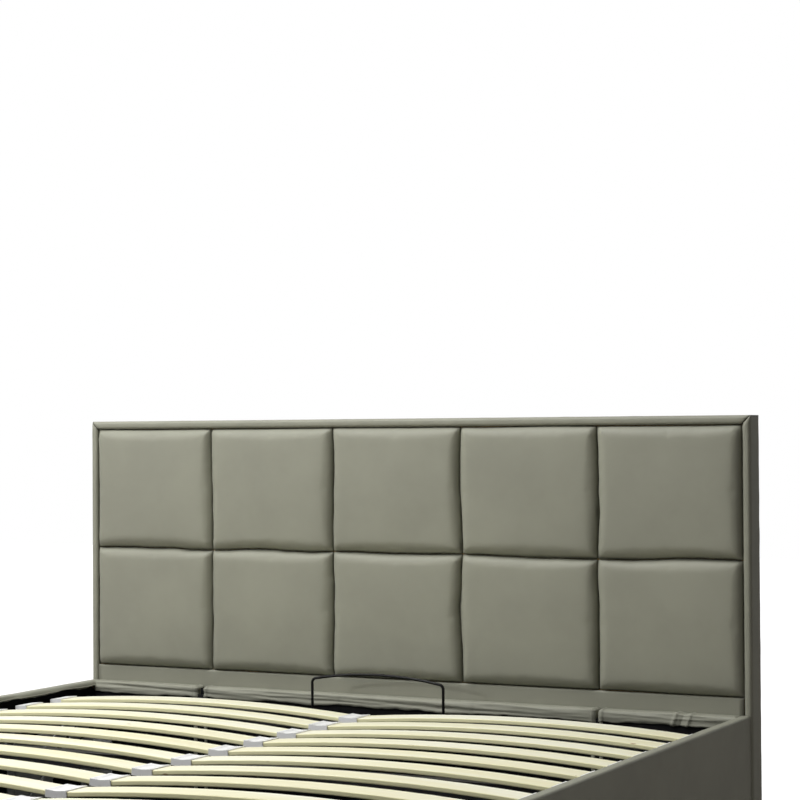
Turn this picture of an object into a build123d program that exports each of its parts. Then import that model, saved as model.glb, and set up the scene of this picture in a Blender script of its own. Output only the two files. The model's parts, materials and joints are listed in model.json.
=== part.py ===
from build123d import *
import math
import os

os.makedirs("parts", exist_ok=True)

# Millimetres. X runs across the bed, Y from the foot to the headboard, Z up.
# The origin is on the floor under the middle of the bed.

# The mattress that the bed takes (a UK king), the room beside it and at its foot,
# and the room behind it, where the retainer stands
mattress_width = 1524.0
mattress_length = 1981.0
side_room = 25.0
foot_room = 3.0
head_room = 64.0

# Upholstered rails: a board inside a thin padded cover
rail_board = 14.0
head_rail_board = 22.0
cover_thickness = 4.0
cover_round = 8.0
rail_top = 350.0
rail_lift = 35.0
side_strip = 15.0
head_strip = 27.0
lining_thickness = 1.5

# Head rail: three pieces with two gaps, a wide one on the left and a narrow one on the right
head_gap_left_at = -491.0
head_gap_left = 15.0
head_gap_right_at = 485.5
head_gap_right = 5.6

# Headboard
headboard_overhang = 4.0
headboard_top = 960.0
headboard_board = 9.0
headboard_frame_depth = 37.0
headboard_frame_width = 45.0
headboard_upright_count = 2
back_cloth = 2.0
border_side = 18.0
border_top = 19.0
border_round = 6.0
pads_bottom = 386.0
pad_columns = 5
pad_rows = 2
pad_seam = 1.0
pad_edge = 12.0
pad_crown = 14.0
# Each section of a pad: how far forward from its back, how far drawn in from its outline
pad_depth_shares = [0.0, 0.42, 0.62, 0.8, 0.92, 1.0]
pad_inset_shares = [0.0, 0.0, 0.012, 0.04, 0.1, 0.24]
pad_side_sag = 1.5

# Storage floor
floor_level = 60.0
floor_board = 9.0
floor_count = 3
floor_gap = 1.0
ledge_width = 25.0
floor_beam_width = 44.0
floor_beam_height = 20.0
ledge_height = 12.0

# Feet: places along the rails and the beam as shares of the bed's length from its middle
foot_radius = 11.0
foot_taper = 2.0
rail_foot_shares = [-0.46, 0.0, 0.43]
beam_foot_shares = [-0.3, 0.0, 0.3]
panel_foot_share = 0.25
headboard_foot_share = 0.42

# Lifting slat frame of square tube
frame_side_clearance = 25.0
frame_head_clearance = 45.0
frame_foot_clearance = 20.0
tube = 30.0
tube_wall = 1.5
tube_top = 313.0
centre_tube = 40.0
cross_tube_shares = [0.33, 0.652]

# Bowed slats in two columns
slat_count = 15
slat_from_headboard = 192.0
slat_from_frame_foot = 81.0
slat_width = 58.0
slat_thickness = 9.0
slat_bow = 17.0
slat_edge_round = 2.2
slat_middle_gap = 10.0
slat_seat = 4.5
cap_length = 28.0
cap_wall = 1.6
cap_clearance = 0.3
cap_overhang = 8.0
cap_foot_width = 14.0
cap_foot_length = 40.0
groove_count = 3
groove_width = 1.4
groove_depth = 0.8
groove_pitch = 4.0
groove_margin = 4.0
peg_radius = 4.0
peg_length = 9.0
peg_clearance = 0.1
holder_length = 44.0
holder_foot_width = 30.0

# Mattress retainer of round wire
retainer_width = 326.0
retainer_rod = 6.0
retainer_corner = 10.0
retainer_corner_top = 390.0
retainer_arch = 15.0
retainer_collar_radius = 9.0
retainer_collar = 4.0

# Pull strap of webbing at the foot end: a loop above a tail on the foot tube
strap_width = 40.0
strap_thickness = 2.5
strap_rise = 66.0
strap_gap = 8.0
strap_tail = 24.0
strap_tab = 9.0

# Lift mechanism, in the plane of the rail: places from the front of the headboard and the floor
lower_rear_pivot = (235.0, 204.0)
lower_front_pivot = (299.0, 103.5)
upper_rear_pivot = (96.0, 285.5)
upper_front_pivot = (107.0, 245.0)
strut_lower_pivot = (600.0, 85.0)
strut_upper_from_headboard = 300.0
link_width = 28.0
link_thickness = 5.0
link_play = 0.2
pin_radius = 5.0
pin_clearance = 0.05
open_pin_clearance = 0.6
pin_head_radius = 8.5
pin_head = 2.0
pin_collar = 1.5
plate_thickness = 4.0
plate_margin = 16.0
plate_below_tube_top = 4.0
folded_steel = 3.0
bracket_front = 335.0
bracket_rear = 213.0
bracket_bottom = 80.0
bracket_top = 250.0
bracket_lip = 22.0
bracket_bolt_shares = [0.16, 0.84]

# Gas struts: a cylinder on the base, a rod on the slat frame
strut_cylinder_radius = 10.0
strut_rod_radius = 4.0
strut_rod_shown = 24.0
strut_rod_inside = 140.0
strut_wall = 2.0
strut_gland = 8.0
strut_gap = 1.5
strut_beside = 0.3
strut_eye_radius = 9.0
strut_eye = 9.0
strut_neck = 16.0
strut_neck_radius = 4.4
strut_stud_radius = 4.0
strut_plate_width = 56.0
strut_plate_height = 40.0
strut_pad_width = 40.0
strut_bolt_share = 0.32
strut_collar_radius = 6.0
strut_piston = 10.0

# Rests under the foot end of the slat frame
rest_from_foot = 95.0
rest_arm = 62.0
rest_width = 40.0
rest_height = 46.0
rest_bolt_shares = [0.25, 0.75]
rest_bolt_down_share = 0.6
rest_gusset_share = 0.8
buffer_radius = 13.0
buffer_height = 7.0
buffer_gap = 0.3

# Corner angles and bolts
angle_leg = 52.0
angle_height = 130.0
angle_bottom = 90.0
angle_bolt_shares = [0.2, 0.8]
angle_bolt_along_share = 0.6
bolt_radius = 3.0
bolt_clearance = 0.25
bolt_bite = 12.0
bolt_head_radius = 6.5
bolt_head = 3.5

# One overrun for every cut
overrun = 2.0

# Sizes that follow from those above
inner_width = mattress_width + 2 * side_room
inner_length = mattress_length + foot_room + head_room
rail_thickness = rail_board + 2 * cover_thickness
head_rail_thickness = head_rail_board + 2 * cover_thickness
outer_width = inner_width + 2 * rail_thickness
headboard_width = outer_width + 2 * headboard_overhang
headboard_depth = pad_edge + headboard_board + headboard_frame_depth + back_cloth
bed_length = rail_thickness + inner_length + head_rail_thickness + headboard_depth

# Faces met going from the foot to the headboard
foot_outer_y = -bed_length / 2
foot_board_y = foot_outer_y + cover_thickness
foot_inner_y = foot_outer_y + rail_thickness
foot_lining_y = foot_inner_y - cover_thickness + lining_thickness
frame_foot_y = foot_inner_y + frame_foot_clearance
head_inner_y = foot_inner_y + inner_length
head_board_y = head_inner_y + cover_thickness
head_lining_y = head_board_y - lining_thickness
frame_head_y = head_inner_y - frame_head_clearance
headboard_y = head_inner_y + head_rail_thickness
board_y = headboard_y + pad_edge
frame_front_y = board_y + headboard_board
frame_back_y = frame_front_y + headboard_frame_depth
back_y = frame_back_y + back_cloth

# Faces met going from the middle to the right
frame_x = inner_width / 2 - frame_side_clearance
tube_x = frame_x - tube / 2
slat_inner_x = slat_middle_gap / 2
slat_outer_x = frame_x + cap_overhang - cap_wall
front_link_x = frame_x + plate_thickness + pin_collar + link_play
rear_link_x = front_link_x + link_thickness + 3 * link_play + pin_head
bracket_x = rear_link_x + link_thickness + link_play + pin_collar
strut_x = frame_x + strut_gap + strut_cylinder_radius
inner_x = inner_width / 2
board_x = inner_x + cover_thickness
lining_x = board_x - lining_thickness
steel_x = lining_x - folded_steel
board_outer_x = board_x + rail_board
outer_x = outer_width / 2
headboard_x = headboard_width / 2
pads_x = headboard_x - border_side

# Levels above the floor
board_bottom = rail_lift + cover_thickness
board_top = rail_top - cover_thickness
strip_bottom = rail_top - side_strip
head_strip_bottom = rail_top - head_strip
floor_bottom = floor_level - floor_board
tube_bottom = tube_top - tube
slat_end_z = tube_top + slat_seat + slat_thickness / 2
rest_top = tube_bottom - buffer_gap - buffer_height
pads_top = headboard_top - border_top

# The mechanism's pivots and brackets as places (y, z)
pivot_a = (headboard_y - lower_rear_pivot[0], lower_rear_pivot[1])
pivot_b = (headboard_y - lower_front_pivot[0], lower_front_pivot[1])
pivot_c = (headboard_y - upper_rear_pivot[0], upper_rear_pivot[1])
pivot_d = (headboard_y - upper_front_pivot[0], upper_front_pivot[1])
strut_foot = (headboard_y - strut_lower_pivot[0], strut_lower_pivot[1])
strut_head = (headboard_y - strut_upper_from_headboard, tube_top - tube / 2)
bracket_y0 = headboard_y - bracket_front
bracket_y1 = headboard_y - bracket_rear
rest_y = foot_inner_y + rest_from_foot

# The arc of a slat and the slope at its ends
slat_half = (slat_outer_x - slat_inner_x) / 2
slat_middle_x = slat_inner_x + slat_half
slat_radius = (slat_half ** 2 + slat_bow ** 2) / (2 * slat_bow)
slat_angle = math.asin(slat_half / slat_radius)
slat_slope = math.degrees(slat_angle)
slat_first_y = headboard_y - slat_from_headboard
slat_pitch = (slat_first_y - frame_foot_y - slat_from_frame_foot) / (slat_count - 1)
slat_places = [slat_first_y - slat_pitch * i for i in range(slat_count)]


def block(x0, x1, y0, y1, z0, z1):
    corner = (Align.MIN, Align.MIN, Align.MIN)
    return Pos(x0, y0, z0) * Box(x1 - x0, y1 - y0, z1 - z0, align=corner)


def rod_x(x0, x1, y, z, radius):
    """A round bar along X."""
    turned = Rot(0, 90, 0) * Cylinder(radius, x1 - x0, align=(Align.CENTER, Align.CENTER, Align.MIN))
    return Pos(x0, y, z) * turned


def rod_y(y0, y1, x, z, radius):
    """A round bar along Y."""
    turned = Rot(-90, 0, 0) * Cylinder(radius, y1 - y0, align=(Align.CENTER, Align.CENTER, Align.MIN))
    return Pos(x, y0, z) * turned


def rod_z(z0, z1, x, y, radius):
    return Pos(x, y, z0) * Cylinder(radius, z1 - z0, align=(Align.CENTER, Align.CENTER, Align.MIN))


def slab_x(points, x0, x1):
    """An outline of (y, z) points, given its thickness along X."""
    outline = make_face(Polyline(*[(0, y, z) for y, z in points], close=True))
    return Pos(x0, 0, 0) * extrude(outline, x1 - x0, dir=(1, 0, 0))


def flip(shape):
    """The left-hand twin of a right-hand piece."""
    return mirror(shape, about=Plane.YZ)


def save(name, *solids):
    export_step(Compound(label=name, children=list(solids)), "parts/" + name + ".step")


def slab_y(points, y0, y1):
    """An outline of (x, z) points, given its thickness along Y."""
    outline = make_face(Polyline(*[(x, 0, z) for x, z in points], close=True))
    return Pos(0, y0, 0) * extrude(outline, y1 - y0, dir=(0, 1, 0))


def edge_at(shape, axis, **place):
    """The edges along one axis whose middle lies at the given x, y or z."""
    found = shape.edges().filter_by(axis)
    for name, value in place.items():
        found = found.filter_by(lambda e: abs(getattr(e.center(), name.upper()) - value) < overrun)
    return found


# Headboard


def pad_outline(inset, y, x, z):
    """A pad's outline: four corners joined by sides that are drawn in."""
    half_x = (2 * pads_x / pad_columns - pad_seam) / 2 - inset
    half_z = ((pads_top - pads_bottom) / pad_rows - pad_seam) / 2 - inset
    corners = [(half_x, -half_z), (half_x, half_z), (-half_x, half_z), (-half_x, -half_z)]
    middles = [(0, pad_side_sag - half_z), (half_x - pad_side_sag, 0)]
    middles += [(0, half_z - pad_side_sag), (pad_side_sag - half_x, 0)]
    sides = [ThreePointArc(corners[i - 1], middles[i], corners[i]) for i in range(len(corners))]
    return Plane.XZ.offset(-y) * Pos(x, z) * make_face(sides)


def headboard_pad(column, row):
    depth = pad_edge + pad_crown
    pitch_x = 2 * pads_x / pad_columns
    pitch_z = (pads_top - pads_bottom) / pad_rows
    x = -pads_x + (column + 1 / 2) * pitch_x
    z = pads_bottom + (row + 1 / 2) * pitch_z
    sections = []
    for forward, inset in zip(pad_depth_shares, pad_inset_shares):
        sections.append(pad_outline(inset * pitch_z, board_y - forward * depth, x, z))
    return loft(sections, ruled=True)


def headboard_board_panel():
    return block(-pads_x, pads_x, board_y, frame_front_y, rail_lift, pads_top)


def headboard_frame():
    """Battens: one along the bottom, one along the top and upright ones between."""
    width = headboard_frame_width
    ends = (frame_front_y, frame_back_y)
    low = rail_lift + width
    high = pads_top - width
    battens = [block(-pads_x, pads_x, *ends, rail_lift, low),
               block(-pads_x, pads_x, *ends, high, pads_top)]
    uprights = headboard_upright_count + 2
    pitch = (2 * pads_x - width) / (uprights - 1)
    for i in range(uprights):
        x = -pads_x + i * pitch
        battens.append(block(x, x + width, *ends, low, high))
    return battens


def headboard_border():
    """The padded border: two sides and a top, mitred at the corners."""
    rim = block(-headboard_x, headboard_x, headboard_y, frame_back_y, rail_lift, headboard_top)
    rounded = edge_at(rim, Axis.Z, y=headboard_y)
    rounded += edge_at(rim, Axis.X, y=headboard_y, z=headboard_top)
    rounded += edge_at(rim, Axis.Y, z=headboard_top)
    rim = fillet(rounded, border_round)
    rim -= block(-pads_x, pads_x, headboard_y - overrun, frame_back_y + overrun,
                 rail_lift - overrun, pads_top)
    far_x = headboard_x + border_side
    far_z = headboard_top + border_top
    ends = (headboard_y - overrun, frame_back_y + overrun)
    top = slab_y([(-pads_x, pads_top), (pads_x, pads_top), (far_x, far_z), (-far_x, far_z)], *ends)
    low = rail_lift - overrun
    side = slab_y([(pads_x, low), (far_x, low), (far_x, far_z), (pads_x, pads_top)], *ends)
    return [rim & side, rim & flip(side), rim & top]


def lower_panel():
    panel = block(-pads_x, pads_x, headboard_y, board_y, rail_lift, pads_bottom)
    return fillet(edge_at(panel, Axis.X, y=headboard_y, z=pads_bottom), pad_edge / 3)


def back_cloth_sheet():
    return block(border_round - headboard_x, headboard_x - border_round, frame_back_y, back_y,
                 rail_lift + border_round, headboard_top - border_round)


# Rails, foot panel and their covers


def side_board():
    return block(board_x, board_outer_x, foot_inner_y, headboard_y, board_bottom, board_top)


def side_cover():
    cover = block(inner_x, outer_x, foot_inner_y, headboard_y, rail_lift, rail_top)
    long_edges = cover.edges().filter_by(Axis.Y).sort_by(lambda e: e.center().X + e.center().Z)
    cover = fillet(long_edges[1:], cover_round)
    cover -= block(board_x, board_outer_x, foot_inner_y - overrun, headboard_y + overrun,
                   board_bottom, board_top)
    return cover - block(inner_x - overrun, board_x, foot_inner_y - overrun,
                         headboard_y + overrun, rail_lift - overrun, strip_bottom)


def foot_board():
    return block(-board_outer_x, board_outer_x, foot_board_y, foot_board_y + rail_board,
                 board_bottom, board_top)


def foot_cover():
    cover = block(-outer_x, outer_x, foot_outer_y, foot_inner_y, rail_lift, rail_top)
    rounded = edge_at(cover, Axis.X, z=rail_top)
    rounded += edge_at(cover, Axis.X, y=foot_outer_y, z=rail_lift)
    rounded += edge_at(cover, Axis.Z, y=foot_outer_y)
    rounded += cover.edges().filter_by(Axis.Y)
    cover = fillet(rounded, cover_round)
    return cover - foot_board() - block(-board_x, board_x, foot_inner_y - cover_thickness,
                                        foot_inner_y + overrun, rail_lift - overrun, strip_bottom)


def head_rail_spans():
    """Where each of the three head rail pieces starts and ends, and which ends are open."""
    left = head_gap_left_at - head_gap_left / 2
    middle_start = head_gap_left_at + head_gap_left / 2
    middle_end = head_gap_right_at - head_gap_right / 2
    right = head_gap_right_at + head_gap_right / 2
    return [(-inner_x, left, 0, 1), (middle_start, middle_end, 1, 1), (right, inner_x, 1, 0)]


def head_rail_board(x0, x1, closed0, closed1):
    return block(x0 + closed0 * cover_thickness, x1 - closed1 * cover_thickness,
                 head_board_y, headboard_y - cover_thickness, board_bottom, board_top)


def head_rail_cover(x0, x1, closed0, closed1):
    cover = block(x0, x1, head_inner_y, headboard_y, rail_lift, rail_top)
    rounded = edge_at(cover, Axis.X, y=head_inner_y, z=rail_top)
    for x, closed in ((x0, closed0), (x1, closed1)):
        if closed:
            rounded += edge_at(cover, Axis.Y, x=x, z=rail_top)
            rounded += edge_at(cover, Axis.Z, x=x, y=head_inner_y)
    cover = fillet(rounded, cover_round) - head_rail_board(x0, x1, closed0, closed1)
    return cover - block(x0 - overrun, x1 + overrun, head_inner_y - overrun, head_board_y,
                         rail_lift - overrun, head_strip_bottom)


def rail_lining():
    """Black cloth on the inner faces of the rails."""
    side = block(lining_x, board_x, foot_lining_y, head_lining_y, floor_bottom, strip_bottom)
    foot = block(-board_x, board_x, foot_lining_y - lining_thickness, foot_lining_y,
                 floor_bottom, strip_bottom)
    head = block(-board_x, board_x, head_lining_y, head_board_y, floor_bottom, head_strip_bottom)
    return [side, flip(side), foot, head]


# Storage floor


def floor_panels():
    half = lining_x - floor_gap
    start = foot_lining_y + floor_gap
    length = (head_lining_y - floor_gap - start - (floor_count - 1) * floor_gap) / floor_count
    panels = []
    for i in range(floor_count):
        y = start + i * (length + floor_gap)
        panels.append(block(-half, half, y, y + length, floor_bottom, floor_level))
    return panels


def floor_beam():
    half = floor_beam_width / 2
    return block(-half, half, foot_inner_y - cover_thickness, head_board_y,
                 floor_bottom - floor_beam_height, floor_bottom)


def floor_ledges():
    """Battens that carry the floor: along both sides, and across both ends up to the beam."""
    low = floor_bottom - ledge_height
    inside = board_x - ledge_width
    half = floor_beam_width / 2
    foot_y = foot_inner_y - cover_thickness
    side = block(inside, board_x, foot_y, head_board_y, low, floor_bottom)
    foot = block(half, inside, foot_y, foot_y + ledge_width, low, floor_bottom)
    head = block(half, inside, head_board_y - ledge_width, head_board_y, low, floor_bottom)
    right = [side, foot, head]
    return right + [flip(piece) for piece in right]


def foot_peg(x, y, height):
    peg = Cone(foot_radius - foot_taper, foot_radius, height,
               align=(Align.CENTER, Align.CENTER, Align.MIN))
    return Pos(x, y, 0) * peg


def bed_feet():
    rail_x = outer_x - foot_radius
    frame_y = (frame_front_y + frame_back_y) / 2
    pegs = [foot_peg(rail_x, share * bed_length, rail_lift) for share in rail_foot_shares]
    pegs.append(foot_peg(panel_foot_share * outer_width, foot_outer_y + foot_radius, rail_lift))
    pegs.append(foot_peg(headboard_foot_share * headboard_width, frame_y, rail_lift))
    pegs += [flip(peg) for peg in pegs]
    beam_bottom = floor_bottom - floor_beam_height
    return pegs + [foot_peg(0, share * bed_length, beam_bottom) for share in beam_foot_shares]


# Bolts and the corner angles they hold


def side_bolt_places():
    """Bolts through the side rails, as (y, z)."""
    angle_z = [angle_bottom + share * angle_height for share in angle_bolt_shares]
    bracket_z = [bracket_bottom + share * (bracket_top - bracket_bottom)
                 for share in bracket_bolt_shares]
    along = angle_bolt_along_share * angle_leg
    lip = bracket_lip / 2
    reach = strut_bolt_share * strut_plate_width
    rest_z = rest_top - rest_bolt_down_share * rest_height
    places = [(y, z) for y in (foot_lining_y + along, head_lining_y - along) for z in angle_z]
    places += [(y, z) for y in (bracket_y0 - lip, bracket_y1 + lip) for z in bracket_z]
    places += [(rest_y + (share - 1 / 2) * rest_width, rest_z) for share in rest_bolt_shares]
    places += [(strut_foot[0] + side * reach, strut_foot[1]) for side in (-1, 1)]
    return places


def bolt_x(y, z, widening):
    """A bolt through the right-hand rail, or its hole when widened."""
    end = board_x + bolt_bite + widening
    shank = rod_x(steel_x, end, y, z, bolt_radius + widening)
    return shank + rod_x(steel_x - bolt_head, steel_x, y, z, bolt_head_radius)


def bolt_y(x, z, face, way, widening):
    """A bolt through an end board: the way is 1 towards the headboard and -1 towards the foot."""
    head_end = face - way * bolt_head
    tip = face + way * (folded_steel + lining_thickness + bolt_bite + widening)
    shank = rod_y(min(face, tip), max(face, tip), x, z, bolt_radius + widening)
    return shank + rod_y(min(face, head_end), max(face, head_end), x, z, bolt_head_radius)


def right_bolts(widening):
    bolts = [bolt_x(y, z, widening) for y, z in side_bolt_places()]
    x = lining_x - angle_bolt_along_share * angle_leg
    for share in angle_bolt_shares:
        z = angle_bottom + share * angle_height
        bolts.append(bolt_y(x, z, foot_lining_y + folded_steel, -1, widening))
        bolts.append(bolt_y(x, z, head_lining_y - folded_steel, 1, widening))
    return bolts


def both_sides(pieces):
    return pieces + [flip(piece) for piece in pieces]


def drilled(shape, holes):
    """The shape less every hole whose box meets its own."""
    box = shape.bounding_box()
    for hole in holes:
        other = hole.bounding_box()
        apart = (other.min.X > box.max.X or other.max.X < box.min.X
                 or other.min.Y > box.max.Y or other.max.Y < box.min.Y)
        if not apart:
            shape -= hole
    return shape


def corner_angle(corner_y, way):
    """An angle in a right-hand corner: the way is 1 when its legs run towards the headboard."""
    top = angle_bottom + angle_height
    ys = sorted((corner_y, corner_y + way * angle_leg))
    thin = sorted((corner_y, corner_y + way * folded_steel))
    along = block(lining_x - folded_steel, lining_x, ys[0], ys[1], angle_bottom, top)
    return along + block(lining_x - angle_leg, lining_x, thin[0], thin[1], angle_bottom, top)


# Lift mechanism


def link(start, end, x, start_clearance, end_clearance):
    """A flat bar between two pivots with a round hole at each."""
    length = math.dist(start, end)
    angle = math.degrees(math.atan2(end[1] - start[1], end[0] - start[0]))
    middle = Pos((start[0] + end[0]) / 2, (start[1] + end[1]) / 2)
    outline = Plane.YZ * middle * Rot(0, 0, angle) * SlotCenterToCenter(length, link_width)
    bar = Pos(x, 0, 0) * extrude(outline, link_thickness, dir=(1, 0, 0))
    for pivot, clearance in ((start, start_clearance), (end, end_clearance)):
        bar -= rod_x(x - overrun, x + link_thickness + overrun, *pivot, pin_radius + clearance)
    return bar


def base_bracket():
    """A folded channel on the rail: a web that carries two pivots, and a lip at each side."""
    span = (bracket_bottom, bracket_top)
    steel = folded_steel
    bracket = block(bracket_x, bracket_x + steel, bracket_y0, bracket_y1, *span)
    bracket += block(bracket_x, lining_x, bracket_y0, bracket_y0 + steel, *span)
    bracket += block(bracket_x, lining_x, bracket_y1 - steel, bracket_y1, *span)
    bracket += block(steel_x, lining_x, bracket_y0 - bracket_lip, bracket_y0, *span)
    bracket += block(steel_x, lining_x, bracket_y1, bracket_y1 + bracket_lip, *span)
    for pivot in (pivot_a, pivot_b):
        bracket -= rod_x(bracket_x - overrun, bracket_x + steel + overrun, *pivot,
                         pin_radius + pin_clearance)
    return bracket


def base_pin(pivot, link_x):
    """A pivot pin riveted to the base bracket, with a collar and a head round its link."""
    inner = link_x - link_play - pin_head
    outer = bracket_x + folded_steel + pin_head
    pin = rod_x(inner, outer, *pivot, pin_radius)
    pin += rod_x(inner, inner + pin_head, *pivot, pin_head_radius)
    pin += rod_x(link_x + link_thickness + link_play, bracket_x, *pivot, pin_head_radius)
    return pin + rod_x(outer - pin_head, outer, *pivot, pin_head_radius)


def frame_pin(pivot, link_x):
    """A pivot pin on the slat frame's plate."""
    outer = link_x + link_thickness + link_play + pin_head
    pin = rod_x(frame_x, outer, *pivot, pin_radius)
    pin += rod_x(frame_x + plate_thickness, link_x - link_play, *pivot, pin_head_radius)
    return pin + rod_x(outer - pin_head, outer, *pivot, pin_head_radius)


def upper_plate():
    """The plate welded to the side tube, with the two upper pivots."""
    top = tube_top - plate_below_tube_top
    front = pivot_d[0] - plate_margin
    rear = pivot_c[0] + plate_margin
    low = pivot_d[1] - plate_margin
    outline = [(front, low), (pivot_d[0] + plate_margin, low), (rear, pivot_c[1] - plate_margin / 2),
               (rear, top), (front - plate_margin, top), (front - plate_margin, tube_bottom)]
    plate = slab_x(outline, frame_x, frame_x + plate_thickness)
    for pivot in (pivot_c, pivot_d):
        plate -= rod_x(frame_x - overrun, frame_x + plate_thickness + overrun, *pivot,
                       pin_radius + pin_clearance)
    return plate


def strut_stud_plate():
    """The plate on the side tube whose stud stands beside the strut's upper eye."""
    half = strut_pad_width / 2
    y, z = strut_head
    plate = block(frame_x, frame_x + folded_steel, y - half, y + half,
                  tube_bottom + tube_wall, tube_top - tube_wall)
    tip = strut_x - strut_eye / 2 - strut_beside
    return plate + rod_x(frame_x + folded_steel, tip, y, z, strut_stud_radius)


def strut_bracket():
    """The plate on the rail, with the stud that the strut's lower eye turns on."""
    y, z = strut_foot
    half = strut_plate_width / 2
    plate = block(steel_x, lining_x, y - half, y + half,
                  z - strut_plate_height / 2, z + strut_plate_height / 2)
    head = strut_x - strut_eye / 2 - link_play
    plate += rod_x(head - pin_head, steel_x, y, z, strut_stud_radius)
    plate += rod_x(head - pin_head, head, y, z, strut_collar_radius)
    return plate + rod_x(strut_x + strut_eye / 2 + link_play, steel_x, y, z, strut_collar_radius)


def along_strut(shape):
    """Moves a shape made along Z from the lower eye to its place in the bed."""
    rise = (strut_head[0] - strut_foot[0], strut_head[1] - strut_foot[1])
    axis = Plane(origin=(strut_x, *strut_foot), x_dir=(1, 0, 0), z_dir=(0, *rise))
    return axis.location * shape


def upright(z0, z1, radius):
    return rod_z(z0, z1, 0, 0, radius)


def strut_cylinder():
    length = math.dist(strut_foot, strut_head)
    end = length - strut_neck - strut_rod_shown
    eye = strut_eye / 2
    body = upright(0, strut_neck, strut_neck_radius) + rod_x(-eye, eye, 0, 0, strut_eye_radius)
    body += upright(strut_neck, end, strut_cylinder_radius)
    body -= upright(strut_neck + strut_wall, end - strut_gland, strut_cylinder_radius - strut_wall)
    body -= upright(end - strut_gland - overrun, end + overrun, strut_rod_radius + pin_clearance)
    body -= rod_x(-strut_neck, strut_neck, 0, 0, strut_stud_radius + pin_clearance)
    return along_strut(body)


def strut_rod():
    length = math.dist(strut_foot, strut_head)
    start = length - strut_neck - strut_rod_shown - strut_rod_inside
    eye = strut_eye / 2
    body = upright(start, length - strut_neck, strut_rod_radius)
    body += upright(start, start + strut_piston, strut_cylinder_radius - strut_wall - pin_clearance)
    body += upright(length - strut_neck, length, strut_neck_radius)
    body += rod_x(-eye, eye, 0, length, strut_eye_radius)
    return along_strut(body)


# Slat frame


def hollow(x0, x1, y0, y1):
    """A closed square tube at the frame's level."""
    wall = tube_wall
    tube_solid = block(x0, x1, y0, y1, tube_bottom, tube_top)
    return tube_solid - block(x0 + wall, x1 - wall, y0 + wall, y1 - wall,
                              tube_bottom + wall, tube_top - wall)


def with_peg_holes(shape, x):
    for y in slat_places:
        shape -= rod_z(tube_top - tube_wall - overrun, tube_top + overrun, x, y,
                       peg_radius + peg_clearance)
    return shape


def side_tube():
    return with_peg_holes(hollow(frame_x - tube, frame_x, frame_foot_y, frame_head_y), tube_x)


def end_tubes():
    inside = frame_x - tube
    return [hollow(-inside, inside, frame_foot_y, frame_foot_y + tube),
            hollow(-inside, inside, frame_head_y - tube, frame_head_y)]


def centre_beam():
    half = centre_tube / 2
    return with_peg_holes(hollow(-half, half, frame_foot_y + tube, frame_head_y - tube), 0)


def cross_tubes():
    """Short tubes across, set between rows of slats."""
    length = frame_head_y - frame_foot_y
    tubes = []
    for share in cross_tube_shares:
        y = frame_foot_y + share * length
        tubes.append(hollow(centre_tube / 2, frame_x - tube, y - tube / 2, y + tube / 2))
    return both_sides(tubes)


# Slats, their caps and holders


def slat():
    """A bowed slat: its rounded section turned about the centre of its arc."""
    centre = Pos(slat_middle_x, 0, slat_end_z + slat_bow - slat_radius)
    section = Plane.YZ * RectangleRounded(slat_width, slat_thickness, slat_edge_round)
    start = centre * Rot(0, -slat_slope, 0) * Pos(0, 0, slat_radius) * section
    return revolve(start, Axis(tuple(centre.position), (0, 1, 0)), 2 * slat_slope)


def sleeve(x0, x1, grow):
    """A box round a slat's end, level with it, widened by a share of the cap's wall."""
    half_y = slat_width / 2 + cap_clearance + grow * cap_wall
    half_z = slat_thickness / 2 + cap_clearance + grow * cap_wall
    return block(x0, x1, -half_y, half_y, -half_z, half_z)


def grooves(start, way):
    """Shallow grooves across the top of a sleeve."""
    half_y = slat_width / 2 + cap_wall + overrun
    top = slat_thickness / 2 + cap_clearance + cap_wall
    cuts = []
    for i in range(groove_count):
        x = start + way * (groove_margin + i * groove_pitch)
        cuts.append(block(x - groove_width / 2, x + groove_width / 2, -half_y, half_y,
                          top - groove_depth, top + overrun))
    return cuts


def foot_block(x, width):
    return block(x - width / 2, x + width / 2, -cap_foot_length / 2, cap_foot_length / 2,
                 tube_top, slat_end_z)


def peg(x):
    return rod_z(tube_top - peg_length, tube_top + slat_seat / 2, x, 0, peg_radius)


def end_cap():
    """A plastic shoe on a slat's outer end, pegged into the side tube."""
    place = Pos(slat_outer_x, 0, slat_end_z) * Rot(0, slat_slope, 0)
    cap = place * sleeve(-cap_length, cap_wall, 1) + foot_block(tube_x, cap_foot_width)
    cap = cap + peg(tube_x) - place * sleeve(-cap_length - overrun, 0, 0)
    for cut in grooves(-cap_length, 1):
        cap -= place * cut
    return cap


def centre_holder():
    """A double holder for the inner ends of two slats, pegged into the centre beam."""
    reach = holder_length / 2 - slat_inner_x
    place = Pos(slat_inner_x, 0, slat_end_z) * Rot(0, -slat_slope, 0)
    half = place * sleeve(-slat_inner_x, reach, 1)
    pocket = place * sleeve(0, reach + overrun, 0)
    holder = half + flip(half) + foot_block(0, holder_foot_width) + peg(0) - pocket - flip(pocket)
    for cut in grooves(reach, -1):
        holder = holder - place * cut - flip(place * cut)
    return holder


def in_rows(piece):
    return [Pos(0, y, 0) * piece for y in slat_places]


# Retainer and strap


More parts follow.
